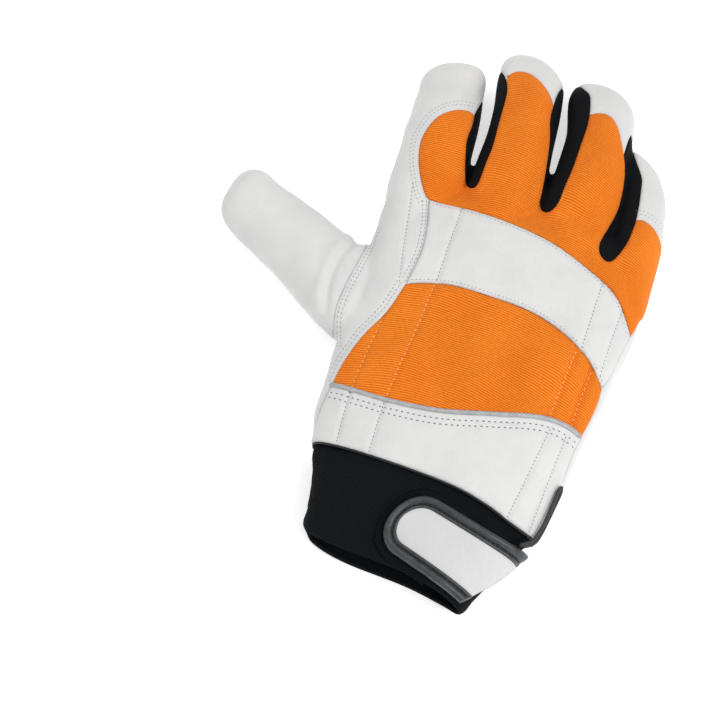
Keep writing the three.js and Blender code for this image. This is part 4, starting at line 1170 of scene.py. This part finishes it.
@dataclass
class Back:
    """The back of the glove: knuckle band, textile panels, wrist leather and the black forks."""

    skin: Skin
    channel: float = 0.75
    channel_width: float = 1.15
    band_channels: tuple[tuple[tuple[float, float], ...], ...] = (
        ((-28.1, 128.5), (-28.0, 106.2), (-28.0, 88.1)), ((45.7, 115.0), (45.9, 94.2), (45.8, 75.0)),
        ((58.5, 108.0), (57.7, 89.6), (57.6, 66.0)))
    back_channels: tuple[tuple[tuple[float, float], ...], ...] = (
        ((-28.4, 88.0), (-29.6, 66.1), (-31.1, 48.6), (-32.0, 37.9), (-32.7, 26.9)),
        ((-45.6, 72.0), (-48.0, 53.0), (-49.8, 26.8)))
    folds: tuple[tuple[tuple[float, float], ...], ...] = (
        ((44.2, 80.0), (42.9, 61.8), (41.5, 40.0)), ((53.5, 74.0), (52.5, 57.9), (52.2, 40.0)))
    knuckle_folds: tuple[tuple[tuple[tuple[float, float], ...], float, float], ...] = (
        (((16.0, 148.0), (25.0, 142.0), (33.0, 138.0)), 1.8, 3.2),
        (((15.0, 139.0), (24.0, 134.0), (33.0, 131.0)), -1.3, 3.4),
        (((51.0, 124.0), (56.0, 118.0), (60.0, 110.0)), 0.8, 3.0),
        (((-20.0, 146.0), (-8.0, 148.0), (2.0, 145.0)), 0.5, 4.0))
    wrist_channels: tuple[tuple[tuple[float, float], ...], ...] = (
        ((-49.6, 27.0), (-48.9, 11.2), (-48.0, 0.0)), ((-32.8, 26.0), (-32.4, 9.9), (-31.9, -1.0)),
        ((43.7, 38.0), (40.6, 12.9), (37.4, -10.0)), ((51.6, 38.0), (50.3, 14.4), (48.9, -12.0)))

    def channels(self, lines: Sequence[Sequence[tuple[float, float]]],
                 depth: float, width: float) -> list[Groove]:
        """Makes grooves of sewn channels."""
        return [Groove(smooth_line(line), depth, width, 0.12) for line in lines]

    def textile_relief(self, p: np.ndarray, distance: np.ndarray) -> np.ndarray:
        """Soft unevenness of the textile over the knuckles and fingers."""
        inner = np.clip(distance / 6, 0, 1)
        return (0.75 * soft_noise(p, 34.0, 3) + 0.3 * soft_noise(p, 13.0, 4)) * inner

    def leather_relief(self, p: np.ndarray, distance: np.ndarray) -> np.ndarray:
        """Soft unevenness of the leather."""
        inner = np.clip(distance / 5, 0.1, 1)
        return (0.28 * soft_noise(p, 30.0, 5) + 0.1 * soft_noise(p, 11.0, 6)) * inner

    def build(self) -> None:
        """Makes the panels of the back."""
        fine = Groove
        top, bottom, piping = seam(BAND_TOP), seam(BAND_BOTTOM), seam(PIPING_LINE)
        hems = [fine(beside(top, -1.6), 0.4, 0.5), fine(beside(bottom, 1.6), 0.4, 0.5)]
        self.skin.panel("knuckle_band_leather", Cut(1.25, 0.15, 1.9), Finish.LEATHER,
                        hems + self.channels(self.band_channels, self.channel, self.channel_width),
                        self.leather_relief)
        self.skin.panel("hand_back_textile", Cut(1.0, 0.15, 3.0, 1.5), Finish.ORANGE,
                        self.channels(self.back_channels, self.channel, 1.3)
                        + self.channels(self.folds[:1], 1.3, 1.6) + self.channels(self.folds[1:], 2.3, 1.8),
                        self.textile_relief)
        rows = [fine(beside(piping, -3.7), 0.35, 0.6), fine(beside(piping, -6.2), 0.35, 0.6)]
        self.skin.panel("wrist_back_leather", Cut(0.9, 0.15, 1.9), Finish.LEATHER,
                        rows + self.channels(self.wrist_channels, self.channel, self.channel_width),
                        self.leather_relief)
        folds = [fine(smooth_line(line), depth, width) for line, depth, width in self.knuckle_folds]
        self.skin.panel("finger_back_textile", Cut(0.95, 0.15, 2.6, 1.5), Finish.ORANGE,
                        folds, self.textile_relief)
        for fork in FORKS:
            self.skin.panel(fork.name, Cut(0.25, -0.1, 1.8, 1.1), Finish.STRETCH)


@dataclass
class Palm:
    """The palm leather with the undersides and tips of the fingers, and the thumb."""

    skin: Skin
    index_seam: tuple[tuple[float, float], ...] = (
        (-54.6, 134.0), (-52.7, 125.2), (-48.6, 102.6), (-44.7, 83.6))
    fold: tuple[tuple[float, float], ...] = ((-72.1, 104.0), (-76.4, 90.0), (-77.0, 76.0), (-74.5, 64.2))

    def relief(self, p: np.ndarray, distance: np.ndarray) -> np.ndarray:
        """Soft folds of worn-in leather."""
        inner = np.clip(distance / 5, 0.1, 1)
        high = np.clip(p[:, 2] / 5, 0, 1)
        return (0.5 * soft_noise(p, 40.0, 7) + 0.16 * soft_noise(p, 15.0, 8)) * inner * high

    def build(self) -> None:
        """Makes the palm's and the thumb's leather."""
        left, back = seam(BAND_LEFT), seam(BACK_LEFT)
        rows = [Groove(beside(line, side), 0.3, 0.6)
                for line, sides in ((left, (-0.9, -2.6)), (back, (-2.3, -4.2)))
                for side in sides]
        rows += [Groove(beside(seam(THUMB_SEAM), side), 0.3, 0.6) for side in (1.7, 3.4)]
        rows.append(Groove(smooth_line(self.index_seam), 0.45, 0.8))
        self.skin.panel("palm_leather", Cut(0.4, 0.1, 1.6), Finish.LEATHER, rows, self.relief)
        folds = [Groove(smooth_line(self.fold), 1.3, 2.0),
                 Groove(beside(smooth_line(self.fold), -4.0), -0.9, 2.6)]
        self.skin.panel("thumb_leather", Cut(0.4, 0.1, 1.8), Finish.LEATHER, folds, self.relief)


# Wrist, strap and trim


def round_seam(line: np.ndarray, ring: Callable[[float, int], np.ndarray],
               sides: int, span: tuple[float, float]
               ) -> tuple[np.ndarray, np.ndarray]:
    """Follows a plan line round a section-shaped tube.

    Args:
        line: The line in plan, running across.
        ring: Gives the tube's section at a distance along the glove, with a number of sides.
        sides: Points all the way round.
        span: The first and last share of the way round, from the outer side over the back.

    Returns:
        The places, and the outward direction at each.
    """
    low, high = int(span[0] * sides), int(span[1] * sides)
    places, outward = [], []
    order = np.argsort(line[:, 0])
    for i in range(low, high + 1):
        y = float(line[:, 1].mean())
        for _ in range(6):
            y = float(np.interp(ring(y, sides)[i % sides][0], line[order, 0], line[order, 1]))
        section = ring(y, sides)
        here, ahead, behind = section[i % sides], section[(i + 1) % sides], section[(i - 1) % sides]
        chord = ahead - behind
        out = np.array([chord[2], 0.0, -chord[0]])
        places.append(here)
        outward.append(out / (np.linalg.norm(out) + 1e-9))
    return np.array(places), np.array(outward)


def sweep(path: np.ndarray, outward: np.ndarray, section: np.ndarray,
          closed: bool = False) -> bmesh.types.BMesh:
    """Draws a section along a path.

    Args:
        path: The path's points.
        outward: The section's upward direction at each of them.
        section: The section's points: aside and up.
        closed: Whether the path ends where it begins.

    Returns:
        The tube.
    """
    ahead = np.roll(path, -1, 0) - np.roll(path, 1, 0) if closed else np.gradient(path, axis=0)
    ahead /= np.linalg.norm(ahead, axis=1, keepdims=True) + 1e-9
    side = np.cross(ahead, outward)
    side /= np.linalg.norm(side, axis=1, keepdims=True) + 1e-9
    up = np.cross(side, ahead)
    rings = [p + np.outer(section[:, 0], s) + np.outer(section[:, 1], u) for p, s, u in zip(path, side, up)]
    bm = bmesh.new()
    add_tube(bm, rings + rings[:1] if closed else rings, closed_ends=not closed)
    if closed:
        bmesh.ops.remove_doubles(bm, verts=bm.verts, dist=0.001)
    bmesh.ops.recalc_face_normals(bm, faces=bm.faces)
    return bm


def oval(wide: float, high: float, sides: int = 14) -> np.ndarray:
    """An oval section with these half sizes."""
    angle = np.linspace(0, 2 * math.pi, sides, endpoint=False)
    return np.column_stack([np.cos(angle) * wide, np.sin(angle) * high])


def dress(piece: bpy.types.Object, finish: Finish, node: str = "", slot: str = "") -> bpy.types.Object:
    """Gives a piece its finish and its place in the frame.

    Args:
        piece: The piece.
        finish: Its finish.
        node: The solid that it replaces, if it does.
        slot: Not used.

    Returns:
        The piece.
    """
    piece.data.materials.append(finish.material())
    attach(piece, "root")
    if node:
        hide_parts(node)
    LOG.info("%s: %d faces", piece.name, len(piece.data.polygons))
    return piece


@dataclass
class Wrist:
    """The knit wrist, the dark roll at its seam and its hem."""

    inset: float = 0.9
    wall: float = 2.0
    sides: int = 220
    roll: float = 0.55

    def relief(self, p: np.ndarray) -> np.ndarray:
        """Soft unevenness of the knit."""
        return 0.45 * soft_noise(p, 32.0, 11) + 0.12 * soft_noise(p, 9.0, 12)

    def build(self) -> None:
        """Makes the knit wrist with its seam roll."""
        bm = bmesh.new()
        stations = np.linspace(-0.32, 1.42, 74)
        add_tube(bm, [cuff_ring(t, -self.inset, self.sides) for t in stations], closed_ends=False)
        bmesh.ops.recalc_face_normals(bm, faces=bm.faces)
        start = np.vstack([seam(CUFF_SEAM), FAR_CORNERS])
        hem = seam(HEM, CUFF_BREADTH, CUFF_LENGTH)
        end = np.vstack([hem, FAR_CORNERS])
        zone: Field = lambda p: np.minimum(inside_outline(p, start) - 0.15, -inside_outline(p, end))
        cut_along(bm, zone)
        within = zone(np.array([face.calc_center_median()[:] for face in bm.faces])) > 0
        spare = [face for face, kept in zip(bm.faces, within) if not kept]
        bmesh.ops.delete(bm, geom=spare, context="FACES")
        bm.normal_update()
        points = coordinates(bm)
        out = np.array([vert.normal[:] for vert in bm.verts])
        if float((out[:, 2] * (points[:, 2] - CUFF_THICKNESS / 2)).mean()) < 0:
            bmesh.ops.reverse_faces(bm, faces=bm.faces)
            out = -out
        to_hem = -inside_outline(points, end)
        height = self.relief(points) * np.clip(points[:, 2] / 5, 0, 1) * np.clip(to_hem / 4, 0.2, 1)
        height -= 0.8 * np.clip(1 - to_hem / 1.3, 0, 1) ** 2
        swell = 0.45 * np.exp(-(((to_hem - 3.4) / 2.6) ** 2))
        height += swell - 0.25 * np.exp(-(((to_hem - 8.2) / 0.7) ** 2))
        points += out * height[:, None]
        points[:, 2] = np.maximum(points[:, 2], 0.02)
        for vert, place in zip(bm.verts, points):
            vert.co = place
        knit = object_from(bm, "knit_wrist")
        thick = knit.modifiers.new("wall", "SOLIDIFY")
        thick.thickness, thick.offset = self.wall * MM, -1.0
        apply_modifiers(knit)
        dress(knit, Finish.KNIT, "knit_cuff")
        places, outward = round_seam(seam(CUFF_SEAM), lambda y, s: hand_ring(y / HAND_LENGTH, 0.0, s),
                                     240, (0.0, 0.999))
        places[:, 2] = np.maximum(places[:, 2], self.roll + 0.05)
        roll = sweep(places - outward * 0.45 - np.array([0, 0.35, 0]), outward,
                     oval(self.roll, self.roll, 10), closed=True)
        dress(object_from(roll, "wrist_seam_roll"), Finish.ROLL, slot="knit_cuff")


@dataclass
class Strap:
    """The wrist strap with its binding, and the patch that it fastens on."""

    start: tuple[float, float] = (-2.8, -23.9)
    heading: float = math.radians(-14)
    length: float = 61.0
    tip_width: float = 18.6
    root_width: float = 21.3
    slant: float = 0.09
    flare: float = 2.8
    top: float = 3.5
    wall: float = 1.9
    binding: tuple[tuple[float, float], ...] = (
        (0.1, 2.6), (0.05, 3.7), (0.35, 4.2), (0.9, 4.35), (1.35, 4.1), (1.65, 3.5), (1.85, 3.25),
        (2.05, 3.55),
        (2.35, 4.35), (2.8, 4.95), (3.5, 5.35), (4.2, 5.3), (4.9, 4.9), (5.45, 4.2), (5.75, 3.4), (5.7, 2.6),
        (5.3, 2.0), (4.6, 1.6), (3.4, 1.4), (1.4, 1.5))

    def half_width(self, run: np.ndarray, extra: float = 0.0) -> np.ndarray:
        """Half the strap's width at a distance from its round tip."""
        tip, root = self.tip_width + 2 * extra, self.root_width + 2 * extra
        full = (tip + (root - tip) * np.minimum(run / self.length, 1)) / 2
        into = np.minimum(run / full, 1)
        return np.maximum(full * np.sqrt(np.maximum(1 - (1 - into) ** 2.3, 0)), 0.3)

    def on_knit(self, run: float, aside: float, height: float) -> np.ndarray:
        """A place over the knit, from a distance along the strap, one aside and a height."""
        run *= 1 - self.slant * (1 - aside / self.root_width * 2) * (max(run, 0.0) / self.length) ** 2
        x = self.start[0] + run * math.cos(self.heading) - aside * math.sin(self.heading)
        flare = self.flare * (max(run, 0.0) / self.length) ** 4 * max(aside, 0.0) / (self.root_width / 2)
        y = self.start[1] + run * math.sin(self.heading) + aside * math.cos(self.heading) + flare
        place = cuff_point(y, x, height)
        place[2] = max(place[2], 0.05)
        return place

    def tongue(self, name: str, extra: float, length: float, top: float,
               wall: float, crown: float) -> bpy.types.Object:
        """Makes a flat tongue with a round tip that lies on the knit.

        Args:
            name: Its name.
            extra: How much wider it is than the strap, on each side and at the tip.
            length: Its length from the strap's tip.
            top: How high its face is.
            wall: Its thickness.
            crown: How much its middle stands up.

        Returns:
            The tongue.
        """
        bm = bmesh.new()
        columns, rows = 44, 18
        bmesh.ops.create_grid(bm, x_segments=columns, y_segments=rows, size=1.0)
        for vert in bm.verts:
            share = (vert.co.x + 1) / 2
            run = (1 - math.cos((share * 0.985 + 0.015) * math.pi / 2)) * (length + extra)
            half = float(self.half_width(np.array(run), extra))
            height = top + crown * (1 - vert.co.y**4)
            vert.co = self.on_knit(run - extra, vert.co.y * half, height)
        bmesh.ops.recalc_face_normals(bm, faces=bm.faces)
        bm.normal_update()
        if sum(face.normal.z for face in bm.faces) < 0:
            bmesh.ops.reverse_faces(bm, faces=bm.faces)
        made = object_from(bm, name)
        thick = made.modifiers.new("wall", "SOLIDIFY")
        thick.thickness, thick.offset = wall * MM, -1.0
        apply_modifiers(made)
        return made

    def edge_line(self) -> tuple[np.ndarray, np.ndarray]:
        """The strap's edge in its plan, from one end round the tip to the other, with outward directions."""
        turn = np.linspace(0, 1, 60)
        run = (1 - np.cos(turn * math.pi / 2)) * self.length
        half = self.half_width(run + 1e-6)
        half[0] = 0.0
        side = np.column_stack([run, half])
        line = np.vstack([side[::-1], side[1:] * (1, -1)])
        ahead = np.gradient(line, axis=0)
        ahead /= np.linalg.norm(ahead, axis=1, keepdims=True)
        return line, np.column_stack([ahead[:, 1], -ahead[:, 0]])

    def build(self) -> None:
        """Makes the patch, the strap and its binding."""
        patch = self.tongue("loop_patch", 9.0, 29.0, 0.5, 0.8, 0.0)
        dress(patch, Finish.LOOPS, "fastening_patch")
        strap = self.tongue("strap_leather", 0.6, self.length, self.top, self.wall, 0.55)
        # A distance far from any edge, so the strap leather gets none of the painted seam shade.
        keep_measure(strap, "edge", np.full(len(strap.data.vertices), 0.01))
        dress(strap, Finish.STRAP_LEATHER, "wrist_strap")
        line, out = self.edge_line()
        rings = [np.array([self.on_knit(p[0] + o[0] * u, p[1] + o[1] * u, h) for u, h in self.binding])
                 for p, o in zip(line, out)]
        bm = bmesh.new()
        add_tube(bm, rings)
        bmesh.ops.recalc_face_normals(bm, faces=bm.faces)
        binding = object_from(bm, "binding_tape")
        dress(binding, Finish.BINDING, "strap_binding")

    def valley(self) -> np.ndarray:
        """The line in the binding's valley that its stitches follow."""
        line, out = self.edge_line()
        return np.array([self.on_knit(p[0] + o[0] * 1.85, p[1] + o[1] * 1.85, 3.5)
                         for p, o in zip(line, out)])


@dataclass
class Trim:
    """The piping across the back and the pull loop at the outer side."""

    piping_half: tuple[float, float] = (1.15, 0.9)
    inner_end: float = -0.452
    outer_end: float = 51.6
    loop_start: tuple[float, float] = (59.2, -18.3)
    loop_length: float = 33.0
    loop_gap: float = 1.8
    loop_plan: tuple[tuple[float, float, float], ...] = (
        (0.0, -0.8, -0.5), (0.12, -0.15, -0.5), (0.3, 0.2, -0.5), (0.55, 0.4, -0.5), (0.78, 0.5, -0.6),
        (0.93, 0.55, -0.55), (1.0, 0.55, 0.0), (0.93, 0.55, 0.55), (0.78, 0.5, 0.6), (0.55, 0.4, 0.5),
        (0.3, 0.2, 0.5), (0.12, -0.15, 0.5), (0.0, -0.8, 0.5))

    def build(self) -> None:
        """Makes the piping and the pull loop."""
        places, outward = round_seam(seam(PIPING_LINE), lambda y, s: hand_ring(y / HAND_LENGTH, 0.0, s),
                                     400, (0.005, 0.445))
        keep = (places[:, 2] > BACK_LEVEL) & (places[:, 0] > self.inner_end * PALM_BREADTH)
        keep &= seen(places)[:, 0] < self.outer_end
        places, outward = places[keep], outward[keep]
        piping = sweep(places + outward * 0.8, outward, oval(*self.piping_half))
        dress(object_from(piping, "piping_bead"), Finish.PIPING, "reflective_piping")
        plan = smooth_line([(self.loop_start[1] + a * self.loop_length,
                             self.loop_start[0] + o * 8 + s * self.loop_gap)
                             for a, o, s in self.loop_plan], 8)
        path = np.array([hand_point(y, arc, 2.7) for y, arc in plan])
        above = np.array([hand_point(y, arc, 4.7) for y, arc in plan]) - path
        above /= np.linalg.norm(above, axis=1, keepdims=True)
        cord = sweep(path, above, oval(0.92, 1.0, 12))
        dress(object_from(cord, "loop_cord"), Finish.CORD, "pull_loop")


# Stitches


class Stitches:
    """Sewing stitches of one thread, each a small bead laid on the panels under it."""

    def __init__(self, name: str, thread: Finish, slot: str, ground: BVHTree) -> None:
        """Starts a thread.

        Args:
            name: The name of the stitches' piece.
            thread: The thread's finish.
            slot: A name that is kept and handed to dress.
            ground: The panels' surface, in the row's metres.
        """
        self.name, self.thread, self.slot, self.ground = name, thread, slot, ground
        self.bm = bmesh.new()

    def lay(self, places: Sequence[tuple[Vector, Vector, Vector]], length: float,
            width: float, sink: float) -> None:
        """Lays stitches.

        Args:
            places: Each stitch's middle, direction and upward direction.
            length: Half its length, in metres.
            width: Half its width.
            sink: How deep its middle lies.
        """
        beads = bmesh.new()
        for middle, ahead, up in places:
            side = ahead.cross(up).normalized()
            up = side.cross(ahead).normalized()
            turn = Matrix((ahead * length, side * width, up * width)).transposed().to_4x4()
            bmesh.ops.create_uvsphere(beads, u_segments=6, v_segments=4, radius=1.0,
                                      matrix=Matrix.Translation(middle - up * sink) @ turn)
        mesh = bpy.data.meshes.new("beads")
        beads.to_mesh(mesh)
        beads.free()
        self.bm.from_mesh(mesh)
        bpy.data.meshes.remove(mesh)

    def ray(self, x: float, y: float, sight: bool) -> tuple[Vector, Vector]:
        """The start and direction of a look at a place: from above, or along the line of sight."""
        if not sight:
            return Vector(to_row(np.array([x, y, 90.0]))), Vector((0, 0, -1))
        eye = ANCHOR + BACKWARD * DISTANCE
        return Vector(to_row(eye)), Vector(ANCHOR + RIGHT * x + UPWARD * y - eye).normalized()

    def row(self, line: np.ndarray, pitch: float, share: float = 0.68, width: float = 0.3, sink: float = 0.08,
            sight: bool = False, within: Field | None = None) -> None:
        """Lays a row of stitches along a line.

        Args:
            line: The line in plan, or as it is seen, in millimetres of the glove's frame.
            pitch: Distance between two stitches.
            share: How much of it each stitch takes.
            width: Half a stitch's width.
            sink: How deep its middle lies.
            sight: Whether the line is given as it is seen.
            within: The zone outside which no stitch is laid.
        """
        steps = np.linalg.norm(np.diff(line, axis=0), axis=1)
        run = np.concatenate([[0], np.cumsum(steps)])
        places = []
        for i in range(max(int(run[-1] / pitch), 1)):
            at = [(i + k) * pitch for k in (0.5 - share / 2, 0.5, 0.5 + share / 2)]
            hits = []
            for a in at:
                x, y = np.interp(a, run, line[:, 0]), np.interp(a, run, line[:, 1])
                hits.append(self.ground.ray_cast(*self.ray(x, y, sight)))
            if any(hit[0] is None for hit in hits) or hits[1][1].z < 0.12:
                continue
            ahead = hits[2][0] - hits[0][0]
            if ahead.length > pitch * MM * 2.5 or ahead.length < 1e-6:
                continue
            places.append(((hits[0][0] + hits[2][0]) / 2, ahead.normalized(), hits[1][1]))
        if within is not None and places:
            inside = within(np.array([place[0][:] for place in places]) / MM - SHIFT) > 0.4
            places = [place for place, kept in zip(places, inside) if kept]
        self.lay(places, pitch * share / 2 * MM, width * MM, sink * MM)

    def follow(self, path: np.ndarray, pitch: float, share: float, width: float) -> None:
        """Lays stitches along a path in space, with their tops up."""
        run = np.concatenate([[0], np.cumsum(np.linalg.norm(np.diff(path, axis=0), axis=1))])
        places = []
        for i in range(int(run[-1] / pitch)):
            start, middle, end = (Vector(to_row(np.array([np.interp((i + k) * pitch, run, path[:, axis])
                                                          for axis in range(3)]))) for k in (0.2, 0.5, 0.8))
            places.append((middle, (end - start).normalized(), Vector((0.3, -0.1, 1.0)).normalized()))
        self.lay(places, pitch * share / 2 * MM, width * MM, 0.0)

    def finish(self) -> None:
        """Makes the stitches' piece."""
        made = object_from(self.bm, self.name, convert=False)
        dress(made, self.thread, slot=self.slot)


@dataclass
class Sewing:
    """Every visible row of stitches."""

    skin: Skin

    def ground(self) -> BVHTree:
        """The surface of all panels, which the stitches lie on."""
        bm = bmesh.new()
        for piece in [*self.skin.panels.values(), bpy.data.objects["piping_bead"]]:
            bm.from_mesh(piece.data)
        tree = BVHTree.FromBMesh(bm)
        bm.free()
        return tree

    def build(self, strap: Strap) -> None:
        """Sews the glove."""
        ground = self.ground()
        back = Back(self.skin)
        grey = Stitches("leather_stitches", Finish.GREY_THREAD, "wrist_back_leather", ground)
        cream = Stitches("textile_stitches", Finish.CREAM_THREAD, "hand_back_textile", ground)
        top, bottom, piping = seam(BAND_TOP), seam(BAND_BOTTOM), seam(PIPING_LINE)
        left, side = seam(BAND_LEFT), seam(BACK_LEFT)
        band, wrist, textile = (self.skin.zones[name] for name in
                                ("knuckle_band_leather", "wrist_back_leather", "hand_back_textile"))
        for line, distance in ((top, -1.6), (bottom, 1.6)):
            grey.row(beside(line, distance), 1.9, 0.7, 0.18, within=band)
        for distance in (-3.7, -6.2):
            grey.row(beside(piping, distance), 2.7, 0.55, 0.38, within=wrist)
        for line, distances in ((left, (-0.9, -2.6)), (side, (-2.3, -4.2)), (seam(THUMB_SEAM), (1.7, 3.4))):
            for distance in distances:
                grey.row(beside(line, distance), 2.0, 0.64, 0.22)
        for distance in (2.6, 4.2):
            grey.row(beside(smooth_line(INDEX_CROWN), distance), 1.9, 0.64, 0.2, sight=True)
            grey.row(beside(smooth_line(LITTLE_CROWN[:6]), distance), 1.9, 0.64, 0.2, sight=True)
        grey.row(smooth_line(Palm.index_seam), 1.9, 0.66, 0.24)
        for lines, zone in ((back.band_channels, band), (back.wrist_channels, wrist)):
            for line in lines:
                grey.row(smooth_line(line), 1.8, 0.66, 0.25, within=zone)
        for line in [*back.back_channels, *back.folds]:
            cream.row(smooth_line(line), 2.6, 0.62, 0.28, within=textile)
        grey.finish()
        cream.finish()
        black = Stitches("binding_stitches", Finish.BLACK_THREAD, "strap_binding", ground)
        black.follow(strap.valley(), 2.4, 0.62, 0.3)
        black.finish()


# The studio


@dataclass(frozen=True)
class Studio:
    """A pale floor, soft lights and the camera."""

    focal_pixels: float = 3360.0
    picture: float = 719.0

    def camera(self) -> None:
        """Makes the camera, which looks down at the glove from the wrist's side."""
        back, right, up = Vector(BACKWARD), Vector(RIGHT), Vector(UPWARD)
        eye = Vector(ANCHOR) + back * DISTANCE
        middle = (self.picture / 2 - 470.0, self.picture / 2 - 330.0)
        sight = right * (middle[0] / self.focal_pixels) - up * (middle[1] / self.focal_pixels) - back
        ahead = sight.normalized()
        side = (right - ahead * right.dot(ahead)).normalized()
        turn = Matrix((side, side.cross(ahead), -ahead)).transposed()
        data = bpy.data.cameras.new("camera")
        data.sensor_width = 36.0
        data.lens = self.focal_pixels / self.picture * 36.0
        data.clip_start, data.clip_end = 0.05, 20.0
        made = bpy.data.objects.new("camera", data)
        bpy.context.scene.collection.objects.link(made)
        place = Vector(to_row(np.array(eye[:])))
        made.matrix_world = Matrix.Translation(place) @ turn.to_4x4()
        bpy.context.scene.camera = made

    def floor(self) -> None:
        """Makes the pale floor."""
        bm = bmesh.new()
        bmesh.ops.create_grid(bm, x_segments=1, y_segments=1, size=4.0)
        floor = object_from(bm, "floor", convert=False)
        n = Nodes("floor", (0.93, 0.93, 0.93), 0.9)
        n.set("Emission Color", (1.0, 1.0, 1.0, 1.0))
        n.set("Emission Strength", 0.36)
        floor.data.materials.append(n.material)
        floor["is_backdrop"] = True

    def light(self, name: str, place: Sequence[float], size: float, power: float) -> None:
        """Makes one soft light that points at the glove."""
        data = bpy.data.lights.new(name, "AREA")
        data.shape = "DISK"
        data.size = size
        data.energy = power
        made = bpy.data.objects.new(name, data)
        bpy.context.scene.collection.objects.link(made)
        made.location = place
        made.rotation_euler = (-Vector(place)).to_track_quat("-Z", "Y").to_euler()

    def build(self) -> None:
        """Makes the studio."""
        self.camera()
        self.floor()
        self.light("key", (1.1, -0.5, 1.2), 0.9, 14.0)
        self.light("fill", (-1.0, 0.7, 1.3), 1.2, 6.0)
        self.light("top", (0.0, 0.1, 1.9), 1.6, 5.0)
        world = bpy.data.worlds.new("studio")
        world.use_nodes = True
        world.node_tree.nodes["Background"].inputs["Color"].default_value = (1.0, 1.0, 1.0, 1.0)
        world.node_tree.nodes["Background"].inputs["Strength"].default_value = 0.6
        bpy.context.scene.world = world
        bpy.context.scene.view_settings.view_transform = "Standard"


def main() -> None:
    """Builds the glove and its studio."""
    logging.basicConfig(level=logging.INFO, format="%(message)s")
    Studio().build()
    skin = Skin()
    LOG.info("skin: %d faces", len(skin.sheet.faces))
    Back(skin).build()
    Palm(skin).build()
    Wrist().build()
    strap = Strap()
    strap.build()
    Trim().build()
    Sewing(skin).build(strap)
    [[list(corner) for corner in box] for box in (CAD_BOX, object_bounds())]


if __name__ == "__main__":
    main()
